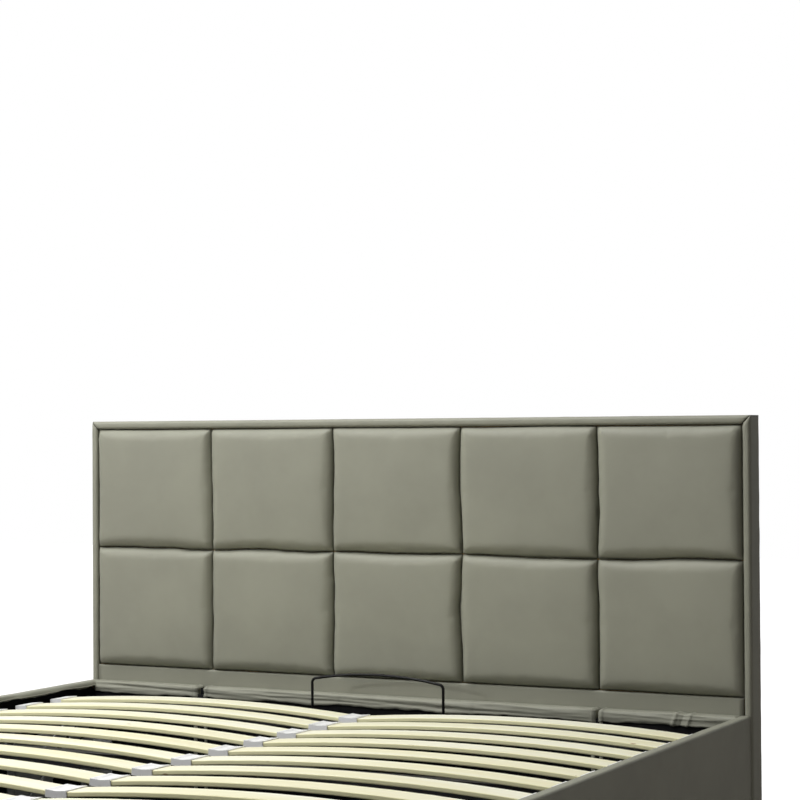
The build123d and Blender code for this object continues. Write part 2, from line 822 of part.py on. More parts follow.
def retainer_path(y):
    """Up one post, round a corner, over a low arch and down the other post."""
    half = (retainer_width - retainer_rod) / 2
    big = (half ** 2 + retainer_arch ** 2) / (2 * retainer_arch)
    big_z = retainer_corner_top + retainer_arch - big
    small_x = half - retainer_corner
    small_z = big_z + math.sqrt((big - retainer_corner) ** 2 - small_x ** 2)
    turn = math.atan2(small_z - big_z, small_x)

    def on_corner(angle):
        return (small_x + retainer_corner * math.cos(angle), y,
                small_z + retainer_corner * math.sin(angle))

    def left(point):
        return (-point[0], point[1], point[2])

    corner = [on_corner(0), on_corner(turn / 2), on_corner(turn)]
    foot = (half, y, tube_top)
    middle = (0, y, big_z + big)
    return Wire([Line(left(foot), left(corner[0])),
                 ThreePointArc(left(corner[0]), left(corner[1]), left(corner[2])),
                 ThreePointArc(left(corner[2]), middle, corner[2]),
                 ThreePointArc(corner[2], corner[1], corner[0]), Line(corner[0], foot)])


def mattress_retainer():
    y = head_inner_y - head_room + retainer_rod / 2
    half = (retainer_width - retainer_rod) / 2
    start = Pos(-half, y, tube_top) * Circle(retainer_rod / 2)
    loop = sweep(start, path=retainer_path(y))
    for x in (-half, half):
        loop += rod_z(tube_top, tube_top + retainer_collar, x, y, retainer_collar_radius)
    return loop


def strap_outline(inset):
    """One edge of the strap's loop as (y, z): outer leg, round top, inner leg."""
    outer_y = frame_foot_y - strap_thickness + inset
    inner_y = frame_foot_y + strap_gap + strap_thickness - inset
    radius = (inner_y - outer_y) / 2
    bend_z = tube_top + strap_rise - strap_gap / 2 - strap_thickness
    return outer_y, inner_y, radius, bend_z


def pull_strap():
    """Webbing: a tail on the foot tube's face, a loop above it, and a tab on the tube's top."""
    half = strap_width / 2
    outer_y, inner_y, radius, bend_z = strap_outline(0)
    in_outer_y, in_inner_y, in_radius, bend_z = strap_outline(strap_thickness)
    tab_y = inner_y + strap_tab
    middle_y = (outer_y + inner_y) / 2
    tail_z = tube_top - strap_tail
    strap = block(-half, half, outer_y, in_outer_y, tail_z, bend_z)
    strap += block(-half, half, in_inner_y, inner_y, tube_top, bend_z)
    strap += block(-half, half, in_inner_y, tab_y, tube_top, tube_top + strap_thickness)
    bend = rod_x(-half, half, middle_y, bend_z, radius)
    bend -= rod_x(-half - overrun, half + overrun, middle_y, bend_z, in_radius)
    bend -= block(-half - overrun, half + overrun, outer_y - overrun, inner_y + overrun,
                  bend_z - radius - overrun, bend_z)
    return strap + bend


# Rests


def rest_bracket():
    """An angle on the rail with a gusset: the shelf stops the foot end of the slat frame."""
    y0 = rest_y - rest_width / 2
    y1 = rest_y + rest_width / 2
    low = rest_top - rest_height
    shelf_low = rest_top - folded_steel
    bracket = block(steel_x, lining_x, y0, y1, low, rest_top)
    bracket += block(lining_x - rest_arm, lining_x, y0, y1, shelf_low, rest_top)
    reach = steel_x - rest_gusset_share * (rest_arm - folded_steel)
    gusset = [(steel_x, low), (steel_x, shelf_low), (reach, shelf_low)]
    return bracket + slab_y(gusset, rest_y - folded_steel / 2, rest_y + folded_steel / 2)


def rest_buffer():
    return rod_z(rest_top, rest_top + buffer_height, tube_x, rest_y, buffer_radius)


# Every piece, saved in its place

holes = both_sides(right_bolts(bolt_clearance))
drill_right = holes[:len(holes) // 2]

save("headboard_board", headboard_board_panel())
save("headboard_frame", *headboard_frame())
save("headboard_border", *headboard_border())
save("headboard_lower_panel", lower_panel())
save("headboard_back_cloth", back_cloth_sheet())
for row in range(pad_rows):
    for column in range(pad_columns):
        number = row * pad_columns + column + 1
        save("headboard_pad_" + str(number), headboard_pad(column, row))

right_board = drilled(side_board(), drill_right)
save("side_rail_right", right_board)
save("side_rail_left", flip(right_board))
save("side_rail_cover_right", side_cover())
save("side_rail_cover_left", flip(side_cover()))
save("foot_panel", drilled(foot_board(), holes))
save("foot_panel_cover", foot_cover())
save("head_rail_boards", *[drilled(head_rail_board(*span), holes) for span in head_rail_spans()])
for name, span in zip(("left", "centre", "right"), head_rail_spans()):
    save("head_rail_cover_" + name, head_rail_cover(*span))
save("rail_lining", *[drilled(piece, holes) for piece in rail_lining()])

save("floor_panels", *floor_panels())
save("floor_beam", floor_beam())
save("floor_ledges", *floor_ledges())
save("bed_feet", *bed_feet())

angles = [corner_angle(foot_lining_y, 1), corner_angle(head_lining_y, -1)]
save("corner_angles", *both_sides([drilled(piece, drill_right) for piece in angles]))
save("frame_bolts", *both_sides(right_bolts(0)))

bracket = drilled(base_bracket(), drill_right)
save("lift_bracket_right", bracket)
save("lift_bracket_left", flip(bracket))
rear_link = link(pivot_a, pivot_c, rear_link_x, pin_clearance, pin_clearance)
save("rear_link_right", rear_link)
save("rear_link_left", flip(rear_link))
front_link = link(pivot_b, pivot_d, front_link_x, pin_clearance, open_pin_clearance)
save("front_link_right", front_link)
save("front_link_left", flip(front_link))
upper_pieces = [upper_plate(), strut_stud_plate()]
save("upper_bracket_right", *upper_pieces)
save("upper_bracket_left", *[flip(piece) for piece in upper_pieces])
base_pins = [base_pin(pivot_a, rear_link_x), base_pin(pivot_b, front_link_x)]
save("base_pivot_pins", *both_sides(base_pins))
frame_pins = [frame_pin(pivot_c, rear_link_x), frame_pin(pivot_d, front_link_x)]
save("frame_pivot_pins", *both_sides(frame_pins))
save("strut_brackets", *both_sides([drilled(strut_bracket(), drill_right)]))
save("strut_cylinder_right", strut_cylinder())
save("strut_cylinder_left", flip(strut_cylinder()))
save("strut_rod_right", strut_rod())
save("strut_rod_left", flip(strut_rod()))

save("side_tubes", *both_sides([side_tube()]))
save("end_tubes", *end_tubes())
save("centre_beam", centre_beam())
save("cross_tubes", *cross_tubes())
slat_right = slat()
save("slats_right", *in_rows(slat_right))
save("slats_left", *in_rows(flip(slat_right)))
cap = end_cap()
save("slat_end_caps", *(in_rows(cap) + in_rows(flip(cap))))
save("slat_centre_holders", *in_rows(centre_holder()))
save("mattress_retainer", mattress_retainer())
save("pull_strap", pull_strap())
save("rest_brackets", *both_sides([drilled(rest_bracket(), drill_right)]))
save("rest_buffers", *both_sides([rest_buffer()]))
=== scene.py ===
import bpy
import json
import math
from mathutils import Matrix, Vector, noise


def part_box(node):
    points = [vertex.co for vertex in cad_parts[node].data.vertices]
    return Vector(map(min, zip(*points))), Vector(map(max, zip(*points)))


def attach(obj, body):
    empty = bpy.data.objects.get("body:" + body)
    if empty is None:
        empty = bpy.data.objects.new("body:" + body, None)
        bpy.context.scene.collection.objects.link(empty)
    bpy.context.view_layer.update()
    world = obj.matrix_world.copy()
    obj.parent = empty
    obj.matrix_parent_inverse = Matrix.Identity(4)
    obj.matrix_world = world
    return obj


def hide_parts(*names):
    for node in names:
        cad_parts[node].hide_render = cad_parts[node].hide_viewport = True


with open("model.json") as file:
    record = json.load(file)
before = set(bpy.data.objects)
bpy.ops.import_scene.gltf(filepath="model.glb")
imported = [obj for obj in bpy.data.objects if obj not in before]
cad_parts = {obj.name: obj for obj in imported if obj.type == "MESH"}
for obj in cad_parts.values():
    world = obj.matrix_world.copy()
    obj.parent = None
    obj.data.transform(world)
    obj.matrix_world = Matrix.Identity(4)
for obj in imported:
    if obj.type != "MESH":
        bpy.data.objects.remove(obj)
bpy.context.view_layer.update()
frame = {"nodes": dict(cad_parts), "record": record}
nodes = frame["nodes"]
print("frame loaded,", len(nodes), "nodes")

# Camera, where the photographer stood: right of the foot end, just below the headboard's top

photoView = {
    "place": (2.169, -3.150, 0.921),
    "forward": (-0.4591, 0.8883, 0.0170),
    "roll": 0.006,
    "lens": 95.97,
}


def pointed(name, data, place, forward, roll=0.0):
    # puts a camera or a light in the scene, looking along forward
    thing = bpy.data.objects.new(name, data)
    bpy.context.scene.collection.objects.link(thing)
    turn = Vector(forward).to_track_quat("-Z", "Y").to_matrix() @ Matrix.Rotation(-roll, 3, "Z")
    thing.matrix_world = Matrix.Translation(place) @ turn.to_4x4()
    return thing


lens = bpy.data.cameras.new("photoCamera")
lens.lens = photoView["lens"]
bpy.context.scene.camera = pointed("photoCamera", lens, photoView["place"], photoView["forward"],
                                   photoView["roll"])


# Shader maths as plain Python

class Link:
    # one output socket; sums on it add Math nodes
    def __init__(self, finish, socket):
        self.finish = finish
        self.socket = socket

    def maths(self, operation, *values):
        inputs = dict(enumerate(values))
        return self.finish.add("Math", {"operation": operation}, inputs)

    def __add__(self, other):
        return self.maths("ADD", self, other)

    def __sub__(self, other):
        return self.maths("SUBTRACT", self, other)

    def __rsub__(self, other):
        return self.maths("SUBTRACT", other, self)

    def __mul__(self, other):
        return self.maths("MULTIPLY", self, other)

    __radd__ = __add__
    __rmul__ = __mul__

    def step(self, low, high):
        # 0 below low, 1 above high, smooth between
        settings = {"interpolation_type": "SMOOTHSTEP"}
        inputs = {"Value": self, "From Min": low, "From Max": high}
        return self.finish.add("MapRange", settings, inputs)


class Finish:
    # one material round a Principled shader
    def __init__(self, name):
        self.material = bpy.data.materials.new(name)
        self.material.use_nodes = True
        self.tree = self.material.node_tree
        self.shader = self.tree.nodes["Principled BSDF"]

    def feed(self, socket, value):
        if isinstance(value, Link):
            self.tree.links.new(value.socket, socket)
        else:
            socket.default_value = value

    def add(self, kind, settings, inputs, output=0):
        node = self.tree.nodes.new("ShaderNode" + kind)
        for name, value in settings.items():
            setattr(node, name, value)
        for name, value in inputs.items():
            self.feed(node.inputs[name], value)
        return Link(self, node.outputs[output])

    def place(self):
        return self.add("TexCoord", {}, {}, "Object")

    def pattern(self, kind, settings, scale, squeeze, output=0, **inputs):
        # a texture on the object's own coordinates, with scale features to the metre
        squeezed = self.add("Mapping", {}, {"Vector": self.place(), "Scale": squeeze})
        return self.add("Tex" + kind, settings, {"Vector": squeezed, "Scale": scale, **inputs}, output)

    def cloud(self, scale, detail=2.0, roughness=0.5, squeeze=(1, 1, 1)):
        return self.pattern("Noise", {}, scale, squeeze, Detail=detail, Roughness=roughness)

    def cells(self, scale, squeeze=(1, 1, 1), feature="F1"):
        return self.pattern("Voronoi", {"feature": feature}, scale, squeeze)

    def waves(self, scale, direction, squeeze=(1, 1, 1), distortion=0.0):
        return self.pattern("Wave", {"bands_direction": direction}, scale, squeeze, Distortion=distortion)

    def mix(self, mask, first, second):
        return self.add("Mix", {"data_type": "RGBA"}, {0: mask, 6: first, 7: second}, 2)

    def axis(self, vector, name):
        return self.add("SeparateXYZ", {}, {"Vector": vector}, name)

    def mark(self, name):
        # a value painted on the mesh, 0 where there is none
        return self.add("Attribute", {"attribute_name": name}, {}, "Fac")

    def bump(self, height, distance, strength=1.0, under=None):
        inputs = {"Height": height, "Distance": distance, "Strength": strength}
        if under is not None:
            inputs["Normal"] = under
        return self.add("Bump", {}, inputs)

    def set(self, **values):
        for name, value in values.items():
            words = name.replace("_", " ")
            self.feed(self.shader.inputs[words], value)
        return self.material

    def coat(self, colour, roughness, normal, shine):
        return self.set(Base_Color=colour, Roughness=roughness, Normal=normal, Specular_IOR_Level=shine)


def tone(red, green, blue):
    # screen colour 0 to 255 to the linear colour that a shader takes
    def linear(part):
        part = part / 255
        return part / 12.92 if part <= 0.04045 else ((part + 0.055) / 1.055) ** 2.4
    return (linear(red), linear(green), linear(blue), 1.0)


# Finishes

leatherLook = {
    "thick": 0.0014,  # of the cloth
    "light": tone(152, 152, 137),
    "deep": tone(145, 145, 131),
    "seam": tone(34, 33, 27),
    "roughness": 0.54,
    "gloss": 0.32,
    "mottle": 5,  # this and the next three: how many to the metre
    "soft": 55,
    "pebble": 620,
    "pore": 1700,
    "pebbleDepth": 0.00016,
    "softDepth": 0.0006,
}


def upholsteryLeather():
    f = Finish("upholsteryLeather")
    mottle = f.cloud(leatherLook["mottle"], 4.0, 0.6)
    pebble = f.cells(leatherLook["pebble"], feature="DISTANCE_TO_EDGE")
    pores = f.cloud(leatherLook["pore"])
    soft = f.cloud(leatherLook["soft"], 3.0, 0.55)
    colour = f.mix(mottle.step(0.3, 0.7), leatherLook["deep"], leatherLook["light"])
    # darker along the seams; on the lower band the same mark also lays a painted shade over its whole
    # surface
    colour = f.mix(f.mark("seam") * 0.65, colour, leatherLook["seam"])
    grain = f.bump(pebble.step(0.0, 0.25) + pores * 0.4, leatherLook["pebbleDepth"], 0.5)
    roughness = leatherLook["roughness"] + (soft - 0.5) * 0.16 - mottle * 0.04
    normal = f.bump(soft, leatherLook["softDepth"], 0.25, grain)
    return f.coat(colour, roughness, normal, leatherLook["gloss"])


slatLook = {
    "top": tone(245, 243, 223),
    "topDeep": tone(238, 233, 198),
    # the ply's yellower edge, coloured lighter than the top as painted light
    "edge": tone(253, 249, 202),
    "streak": tone(224, 211, 154),
    "knot": tone(150, 106, 58),
    "ply": 0.0015,  # thickness of one veneer
    "facingUp": (0.55, 0.97),  # how steep a face is where the edge's colour turns into the top's
    "knots": 1.7,
    "spots": 1.9,
    "grainDepth": 0.00025,
}


def slatWood():
    f = Finish("slatWood")
    fine = f.cloud(3.0, 6.0, 0.62, (2.2, 60, 90))
    drift = f.cloud(1.6, 3.0, 0.5, (1.2, 9, 6))
    normal = f.add("NewGeometry", {}, {}, "Normal")
    facingUp = f.axis(normal, "Z").step(*slatLook["facingUp"])
    height = f.axis(f.place(), "Z")
    veneer = f.add("Math", {"operation": "PINGPONG"}, {0: height, 1: slatLook["ply"]})
    glueLine = 1 - veneer.step(0.0, slatLook["ply"] / 3)
    knots = f.cells(slatLook["knots"], (3.2, 9, 9))
    knotMask = 1 - knots.step(0.018, 0.05)
    spots = f.cells(slatLook["spots"], (8, 26, 26))
    spotMask = 1 - spots.step(0.02, 0.05)
    top = f.mix(drift.step(0.3, 0.7), slatLook["top"], slatLook["topDeep"])
    top = f.mix(fine.step(0.56, 0.74) * 0.35, top, slatLook["streak"])
    edge = f.mix(glueLine * 0.35, slatLook["edge"], slatLook["streak"])
    edge = f.mix(fine.step(0.55, 0.8) * 0.4, edge, slatLook["streak"])
    # edge and top differ as the ply's edge and face, and the edge is lighter than the top as painted light
    colour = f.mix(facingUp, edge, top)
    colour = f.mix(knotMask * 0.75, colour, slatLook["knot"])
    colour = f.mix(spotMask * 0.45, colour, slatLook["knot"])
    return f.coat(colour, 0.52 + fine * 0.16, f.bump(fine, slatLook["grainDepth"], 0.35), 0.3)


def whitePlastic():
    f = Finish("whitePlastic")
    spark = f.cloud(900)
    handled = f.cloud(24, 3.0)
    colour = f.mix(handled.step(0.4, 0.8) * 0.5, tone(250, 250, 249), tone(241, 241, 237))
    return f.coat(colour, 0.36 + handled * 0.14, f.bump(spark, 0.00008, 0.4), 0.45)


def coatedSteel(name, colour, dust, roughness, peel, shine=0.45):
    # powder coat: orange peel, a little dust and rubbed places
    f = Finish(name)
    skin = f.cloud(peel)
    worn = f.cloud(14, 5.0, 0.6)
    rubbed = f.mix(worn.step(0.45, 0.85) * 0.5, colour, dust)
    return f.coat(rubbed, roughness + worn * 0.15, f.bump(skin, 0.00012, 0.5), shine)


def platedSteel(name, colour, roughness, brush):
    # bare plated metal with fine lines along X
    f = Finish(name)
    lines = f.cloud(4.0, 3.0, 0.5, (8, 400, 400))
    cloudy = f.cloud(60, 3.0)
    darker = tuple(part * 0.72 for part in colour[:3]) + (1.0,)
    return f.set(
        Base_Color=f.mix(cloudy.step(0.35, 0.75), colour, darker),
        Metallic=1.0,
        Roughness=roughness + lines * brush,
        Normal=f.bump(lines, 0.00005, brush),
    )


def blackCloth():
    f = Finish("blackCloth")
    dots = f.cells(460)
    fibre = f.cloud(900, 4.0, 0.7)
    lint = f.cloud(30, 4.0, 0.6)
    colour = f.mix(fibre.step(0.45, 0.8) * 0.5, tone(17, 17, 18), tone(38, 38, 38))
    colour = f.mix(lint.step(0.62, 0.8) * 0.2, colour, tone(60, 60, 58))
    return f.coat(colour, 0.92, f.bump(dots * 0.6 + fibre * 0.5, 0.0003, 0.6), 0.1)


def wovenWebbing():
    f = Finish("wovenWebbing")
    weave = f.waves(210, "X") * f.waves(170, "Z")
    colour = f.mix(weave, tone(14, 14, 15), tone(44, 44, 46))
    return f.coat(colour, 0.72, f.bump(weave, 0.0005, 0.8), 0.2)


def chipBoard():
    f = Finish("chipBoard")
    chips = f.cells(260, (1, 1, 2.5))
    tint = f.pattern("Voronoi", {}, 260, (1, 1, 2.5), 1)
    colour = f.mix(f.axis(tint, "X"), tone(170, 138, 96), tone(214, 186, 140))
    return f.coat(colour, 0.8, f.bump(chips, 0.0003, 0.4), 0.2)


def softWood():
    f = Finish("softWood")
    grain = f.cloud(2.4, 6.0, 0.6, (2, 34, 34))
    rings = f.waves(2.2, "DIAGONAL", (0.6, 20, 20), 5.0)
    colour = f.mix(rings, tone(220, 190, 140), tone(196, 158, 104))
    colour = f.mix(grain.step(0.5, 0.75) * 0.5, colour, tone(174, 134, 84))
    return f.coat(colour, 0.68, f.bump(grain, 0.0003, 0.4), 0.25)


def blackBoard():
    f = Finish("blackBoard")
    tooth = f.cloud(500, 3.0)
    scuff = f.cloud(9, 5.0, 0.7, (6, 1.2, 1))
    colour = f.mix(scuff.step(0.55, 0.8) * 0.3, tone(27, 27, 28), tone(66, 64, 61))
    return f.coat(colour, 0.62 - scuff * 0.1, f.bump(tooth, 0.00015, 0.5), 0.3)


def blackPlastic(name, colour, roughness):
    f = Finish(name)
    grit = f.cloud(700, 3.0)
    rub = f.cloud(40, 4.0)
    lighter = tuple(part * 1.9 for part in colour[:3]) + (1.0,)
    rubbed = f.mix(rub.step(0.5, 0.9) * 0.6, colour, lighter)
    return f.coat(rubbed, roughness + rub * 0.12, f.bump(grit, 0.00015, 0.5), 0.35)


finishes = {
    "upholstery": upholsteryLeather(),
    "board": chipBoard(),
    "batten": softWood(),
    "black_cloth": blackCloth(),
    "floor_board": blackBoard(),
    "feet": blackPlastic("footPlastic", tone(30, 30, 30), 0.45),
    "grey_steel": coatedSteel("greySteel", tone(212, 213, 213), tone(226, 226, 223), 0.34, 650),
    "zinc_steel": platedSteel("zincSteel", tone(214, 200, 150), 0.22, 0.2),
    "strut_black": coatedSteel("strutBlack", tone(16, 16, 17), tone(40, 40, 42), 0.24, 500),
    "strut_bright": platedSteel("strutBright", tone(225, 226, 228), 0.06, 0.05),
    "tube_black": coatedSteel("tubeBlack", tone(24, 24, 25), tone(62, 61, 60), 0.36, 800),
    "wire_black": coatedSteel("wireBlack", tone(14, 14, 15), tone(30, 30, 31), 0.28, 900, 0.16),
    "slat_wood": slatWood(),
    "white_plastic": whitePlastic(),
    "webbing": wovenWebbing(),
    "buffer_rubber": blackPlastic("bufferRubber", tone(24, 24, 24), 0.7),
}
for part in frame["record"]["subparts"]:
    mesh = nodes[part["node"]].data
    mesh.materials.clear()
    mesh.materials.append(finishes[part["material_slot"]])
print("finishes on the frame")


# Making and shaping

def made(shape, **settings):
    # a primitive, with nothing else selected
    bpy.ops.object.select_all(action="DESELECT")
    shape(**settings)
    return bpy.context.object


def editMode(on):
    bpy.ops.object.mode_set(mode="EDIT" if on else "OBJECT")


def applyModifier(piece, kind, **settings):
    bpy.context.view_layer.objects.active = piece
    modifier = piece.modifiers.new(kind.lower(), kind)
    for name, value in settings.items():
        setattr(modifier, name, value)
    bpy.ops.object.modifier_apply(modifier=modifier.name)


def gridSheet(name, stations, section, place):
    # a flat grid wrapped round its section: one row of cells for each step along and around
    along = len(stations) - 1
    around = len(section) - 1
    sheet = made(bpy.ops.mesh.primitive_grid_add, x_subdivisions=along, y_subdivisions=around, size=1)
    sheet.name = name
    for point in sheet.data.vertices:
        i = round((point.co.x + 0.5) * along)
        j = round((point.co.y + 0.5) * around)
        point.co = place(stations[i], section[j])
    sheet.data.update()
    bpy.ops.object.shade_smooth()
    return sheet


def faceOutwards(sheet, middle):
    # turns the sheet's faces away from what it wraps
    faces = sheet.data.polygons
    out = sum((face.center - Vector(middle)).dot(face.normal) * face.area for face in faces)
    if out < 0:
        sheet.data.flip_normals()


def skinned(sheet, middle, thickness=leatherLook["thick"]):
    # turns a sheet outwards and gives the cloth its thickness, on the inner side
    faceOutwards(sheet, middle)
    applyModifier(sheet, "SOLIDIFY", thickness=thickness, offset=-1)
    return sheet


def steps(start, end, cell, inset=0.0):
    start += inset
    end -= inset
    count = max(1, round(abs(end - start) / cell))
    return [start + (end - start) * i / count for i in range(count + 1)]


arcSteps = 6


def roundedPath(corners, run):
    # straight runs, divided every run, with each corner rounded to its own radius
    points = [Vector(corners[0][:2])]
    for before, corner, after in zip(corners, corners[1:], corners[2:]):
        here = Vector(corner[:2])
        radius = corner[2]
        arrive = (here - Vector(before[:2])).normalized()
        leave = (Vector(after[:2]) - here).normalized()
        side = 1 if arrive.x * leave.y - arrive.y * leave.x > 0 else -1
        turn = arrive.angle(leave)
        start = here - arrive * radius * math.tan(turn / 2)
        centre = start + Vector((-arrive.y, arrive.x)) * radius * side
        addRun(points, start, run)
        for i in range(1, arcSteps + 1):
            points.append(centre + Matrix.Rotation(side * turn * i / arcSteps, 2) @ (start - centre))
    addRun(points, Vector(corners[-1][:2]), run)
    return points


def addRun(points, end, run):
    start = points[-1].copy()
    count = max(1, round((end - start).length / run))
    for i in range(1, count + 1):
        points.append(start.lerp(end, i / count))


def pathLength(points):
    return sum((b - a).length for a, b in zip(points, points[1:]))


def ripple(x, y, z=0.0):
    return noise.noise(Vector((x, y, z)))


def waved(along, waves, seed=0.0):
    # adds up waves given as (share, waves to the metre, seed)
    return sum(share * ripple(along * often, seed + more) for share, often, more in waves)


def fade(distance, reach):
    # 1 at no distance, dying away over the reach
    return math.exp(-distance / reach)


def bell(share):
    # 1 in the middle, near 0 on both sides from 2 on
    return math.exp(-share * share)


def crumple(piece, height):
    # moves each point along its own normal
    moves = [point.normal * height(point.co) for point in piece.data.vertices]
    for point, move in zip(piece.data.vertices, moves):
        point.co += move
    piece.data.update()


def edit(kind, parts, chosen):
    # opens the active piece with the chosen points or faces selected
    editMode(True)
    bpy.ops.mesh.select_mode(type=kind)
    bpy.ops.mesh.select_all(action="DESELECT")
    editMode(False)
    for part in parts:
        part.select = chosen(part)
    editMode(True)


def markSeam(piece, share):
    # paints how near each point lies to a seam
    seam = piece.data.attributes.new("seam", "FLOAT", "POINT")
    seam.data.foreach_set("value", [share(point.co) for point in piece.data.vertices])


def copied(model, place=None):
    # a copy with a mesh of its own
    piece = model.copy()
    piece.data = model.data.copy()
    bpy.context.scene.collection.objects.link(piece)
    if place is not None:
        piece.data.transform(place)
    return piece


def joined(name, pieces):
    bpy.ops.object.select_all(action="DESELECT")
    for piece in pieces:
        piece.select_set(True)
    bpy.context.view_layer.objects.active = pieces[0]
    if len(pieces) > 1:
        bpy.ops.object.join()
    whole = bpy.context.view_layer.objects.active
    whole.name = name
    return whole


def stamped(name, model, places):
    # one mesh with a copy of the model at each place
    whole = joined(name, [copied(model, place) for place in places])
    bpy.data.objects.remove(model)
    return whole


def install(piece, slot, body, *replaced):
    piece.data.materials.clear()
    piece.data.materials.append(finishes[slot])
    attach(piece, body)
    if replaced:
        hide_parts(*replaced)
    return piece


# Places that the upholstery follows, read from the frame

padLow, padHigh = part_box("headboard_pad_1")
rimLow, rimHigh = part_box("headboard_border")
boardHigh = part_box("headboard_board")[1]
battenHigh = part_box("headboard_frame")[1]
clothLow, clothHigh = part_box("headboard_back_cloth")
bandLow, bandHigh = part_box("headboard_lower_panel")
railLow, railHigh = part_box("side_rail_cover_right")
footLow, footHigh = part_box("foot_panel_cover")
headRailLow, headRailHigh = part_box("head_rail_cover_centre")
liningLow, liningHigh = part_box("rail_lining")

coverLook = {
    "clear": 0.0003,  # how far it lies off a rail's inner face
    "round": 0.0055,
    "innerRound": 0.010,
    "strip": 0.0115,  # how far a cover turns down inside its rail
    "headStrip": 0.025,
    "under": 0.006,  # where it ends under the rail
    "run": 0.016,
    "cell": 0.011,
    "endClear": 0.0002,
    "lip": 0.0055,  # how far the padding of a side cover stands in over its rail
    "dented": 0.55,  # the share of it pressed back where the raised strut passes
    "dentFrom": 0.105,  # that stretch, measured from the strut's foot
    "dentTo": 0.265,
    "dentFade": 0.03,
    "jag": 0.0045,  # how unevenly its inner edge is cut
    "jagWaves": ((1.0, 11, 0), (0.5, 34, 5), (0.25, 90, 9)),  # (share, waves to the metre, seed)
    "dent": 0.0007,
    "topReach": 0.03,
    "topDepth": 0.004,
}


# The ten pads: foam under leather cloth, swelled by air pressure, then stitched down at their rims

padLook = {
    "count": 10,
    "cell": 0.0056,
    "roll": 0.021,  # width of the rounded rim
    "rollPower": 2.4,
    "rollDepth": 0.015,
    "crown": 0.003,
    "crownTurn": 1.5,
    "sunk": 0.006,  # how far the blank starts behind the finished front
    "pressure": 4.0,
    "spare": 0.002,  # share of spare cloth
    "stiffness": 9.0,
    "frames": 20,
    "cap": 0.0022,  # the most that the air may move it
    "nearRim": 0.01,
    "seamWave": 0.0062,  # how far a seam strays from its line
    "seamHeld": 0.25,  # the share of that beside the border and the band
    "seamWaves": ((1.0, 6.5, 2.0), (0.3, 23, 6.0)),  # (share, waves to the metre, seed)
    "seamReach": 0.022,
    "seamWidth": 0.0015,
    "pucker": 0.0008,
    "puckerWaves": ((1.0, 70, 31, 1.0), (0.6, 150, 13, 0.0)),
    "puckerReach": 0.011,
    "cornerPull": 1.6,
    "cornerReach": 0.05,
    "crease": 0.0012,
    "creaseStart": 0.004,
    "creaseReach": 0.040,
    "creaseWidth": 0.0030,
    "creaseAngles": (24, 46, 67),
    "creaseStray": 9,  # degrees
    "frontRoll": 0.006,
    "dent": 0.0008,
    "dentWaves": 9,
}


def rollOver(distance, width):
    # quarter-round from 0 at the rim to 1 at the given width
    share = 1 - min(max(distance / width, 0), 1)
    return math.sqrt(max(0.0, 1 - share ** padLook["rollPower"]))


def padBlank():
    half = (padHigh - padLow) / 2
    across = steps(-half.x, half.x, padLook["cell"])
    up = steps(-half.z, half.z, padLook["cell"])
    turn = padLook["crownTurn"]

    def place(x, z):
        rim = rollOver(half.x - abs(x), padLook["roll"]) * rollOver(half.z - abs(z), padLook["roll"])
        rise = padLook["rollDepth"] * rim
        crown = padLook["crown"] * math.cos(x / half.x * turn) * math.cos(z / half.z * turn)
        return x, padLook["rollDepth"] + padLook["sunk"] - rise - crown, z

    blank = gridSheet("padBlank", across, up, place)
    faceOutwards(blank, (0, 1, 0))
    return blank, half


def swell(blank, half):
    rim = [p.index for p in blank.data.vertices
           if min(half.x - abs(p.co.x), half.z - abs(p.co.z)) < padLook["cell"] / 2]
    start = [p.co.copy() for p in blank.data.vertices]
    blank.vertex_groups.new(name="stitched").add(rim, 1.0, "REPLACE")
    cloth = blank.modifiers.new("cloth", "CLOTH")
    cloth.settings.vertex_group_mass = "stitched"
    cloth.settings.use_pressure = True
    cloth.settings.uniform_pressure_force = padLook["pressure"]
    cloth.settings.effector_weights.gravity = 0
    cloth.settings.shrink_min = -padLook["spare"]
    cloth.settings.bending_stiffness = padLook["stiffness"]
    cloth.collision_settings.use_collision = False
    for step in range(1, padLook["frames"] + 1):
        bpy.context.scene.frame_set(step)
    bpy.ops.object.modifier_apply(modifier="cloth")
    bpy.context.scene.frame_set(1)
    for point, home in zip(blank.data.vertices, start):
        move = point.co - home
        if move.length > 0:
            kept = padLook["cap"] * math.tanh(move.length / padLook["cap"])
            point.co = home + move * (kept / move.length)
    blank.vertex_groups.clear()


def closeBehind(pad, depth):
    # carries the rim straight back and closes it
    editMode(True)
    bpy.ops.mesh.select_mode(type="VERT")
    bpy.ops.mesh.select_all(action="DESELECT")
    bpy.ops.mesh.select_non_manifold()
    bpy.ops.mesh.extrude_edges_move()
    editMode(False)
    for point in pad.data.vertices:
        if point.select:
            point.co.y = depth
    editMode(True)
    bpy.ops.mesh.edge_face_add()
    editMode(False)


def creaseAt(corner, seed):
    # creases that run in from a pinched corner
    reach = corner.length
    if reach < padLook["creaseStart"] or reach > padLook["creaseReach"]:
        return 0.0
    angle = math.degrees(math.atan2(corner.y, corner.x))
    along = math.sin(math.pi * (reach / padLook["creaseReach"]) ** 0.6)
    depth = 0.0
    for k, middle in enumerate(padLook["creaseAngles"]):
        turn = middle + padLook["creaseStray"] * ripple(seed * 3.7, k * 5.1)
        strength = 0.5 + 0.5 * ripple(seed * 1.9, k * 2.3, 4.0)
        depth += strength * bell(math.radians(angle - turn) * reach / padLook["creaseWidth"])
    return depth * along


def seamWave(along, seam, held):
    # how far a seam strays from its line, less where the border or the band holds it
    waves = padLook["seamWaves"]
    stray = sum(share * ripple(along * often, seam * 7, seed) for share, often, seed in waves)
    return padLook["seamWave"] * stray * (padLook["seamHeld"] if held else 1.0)


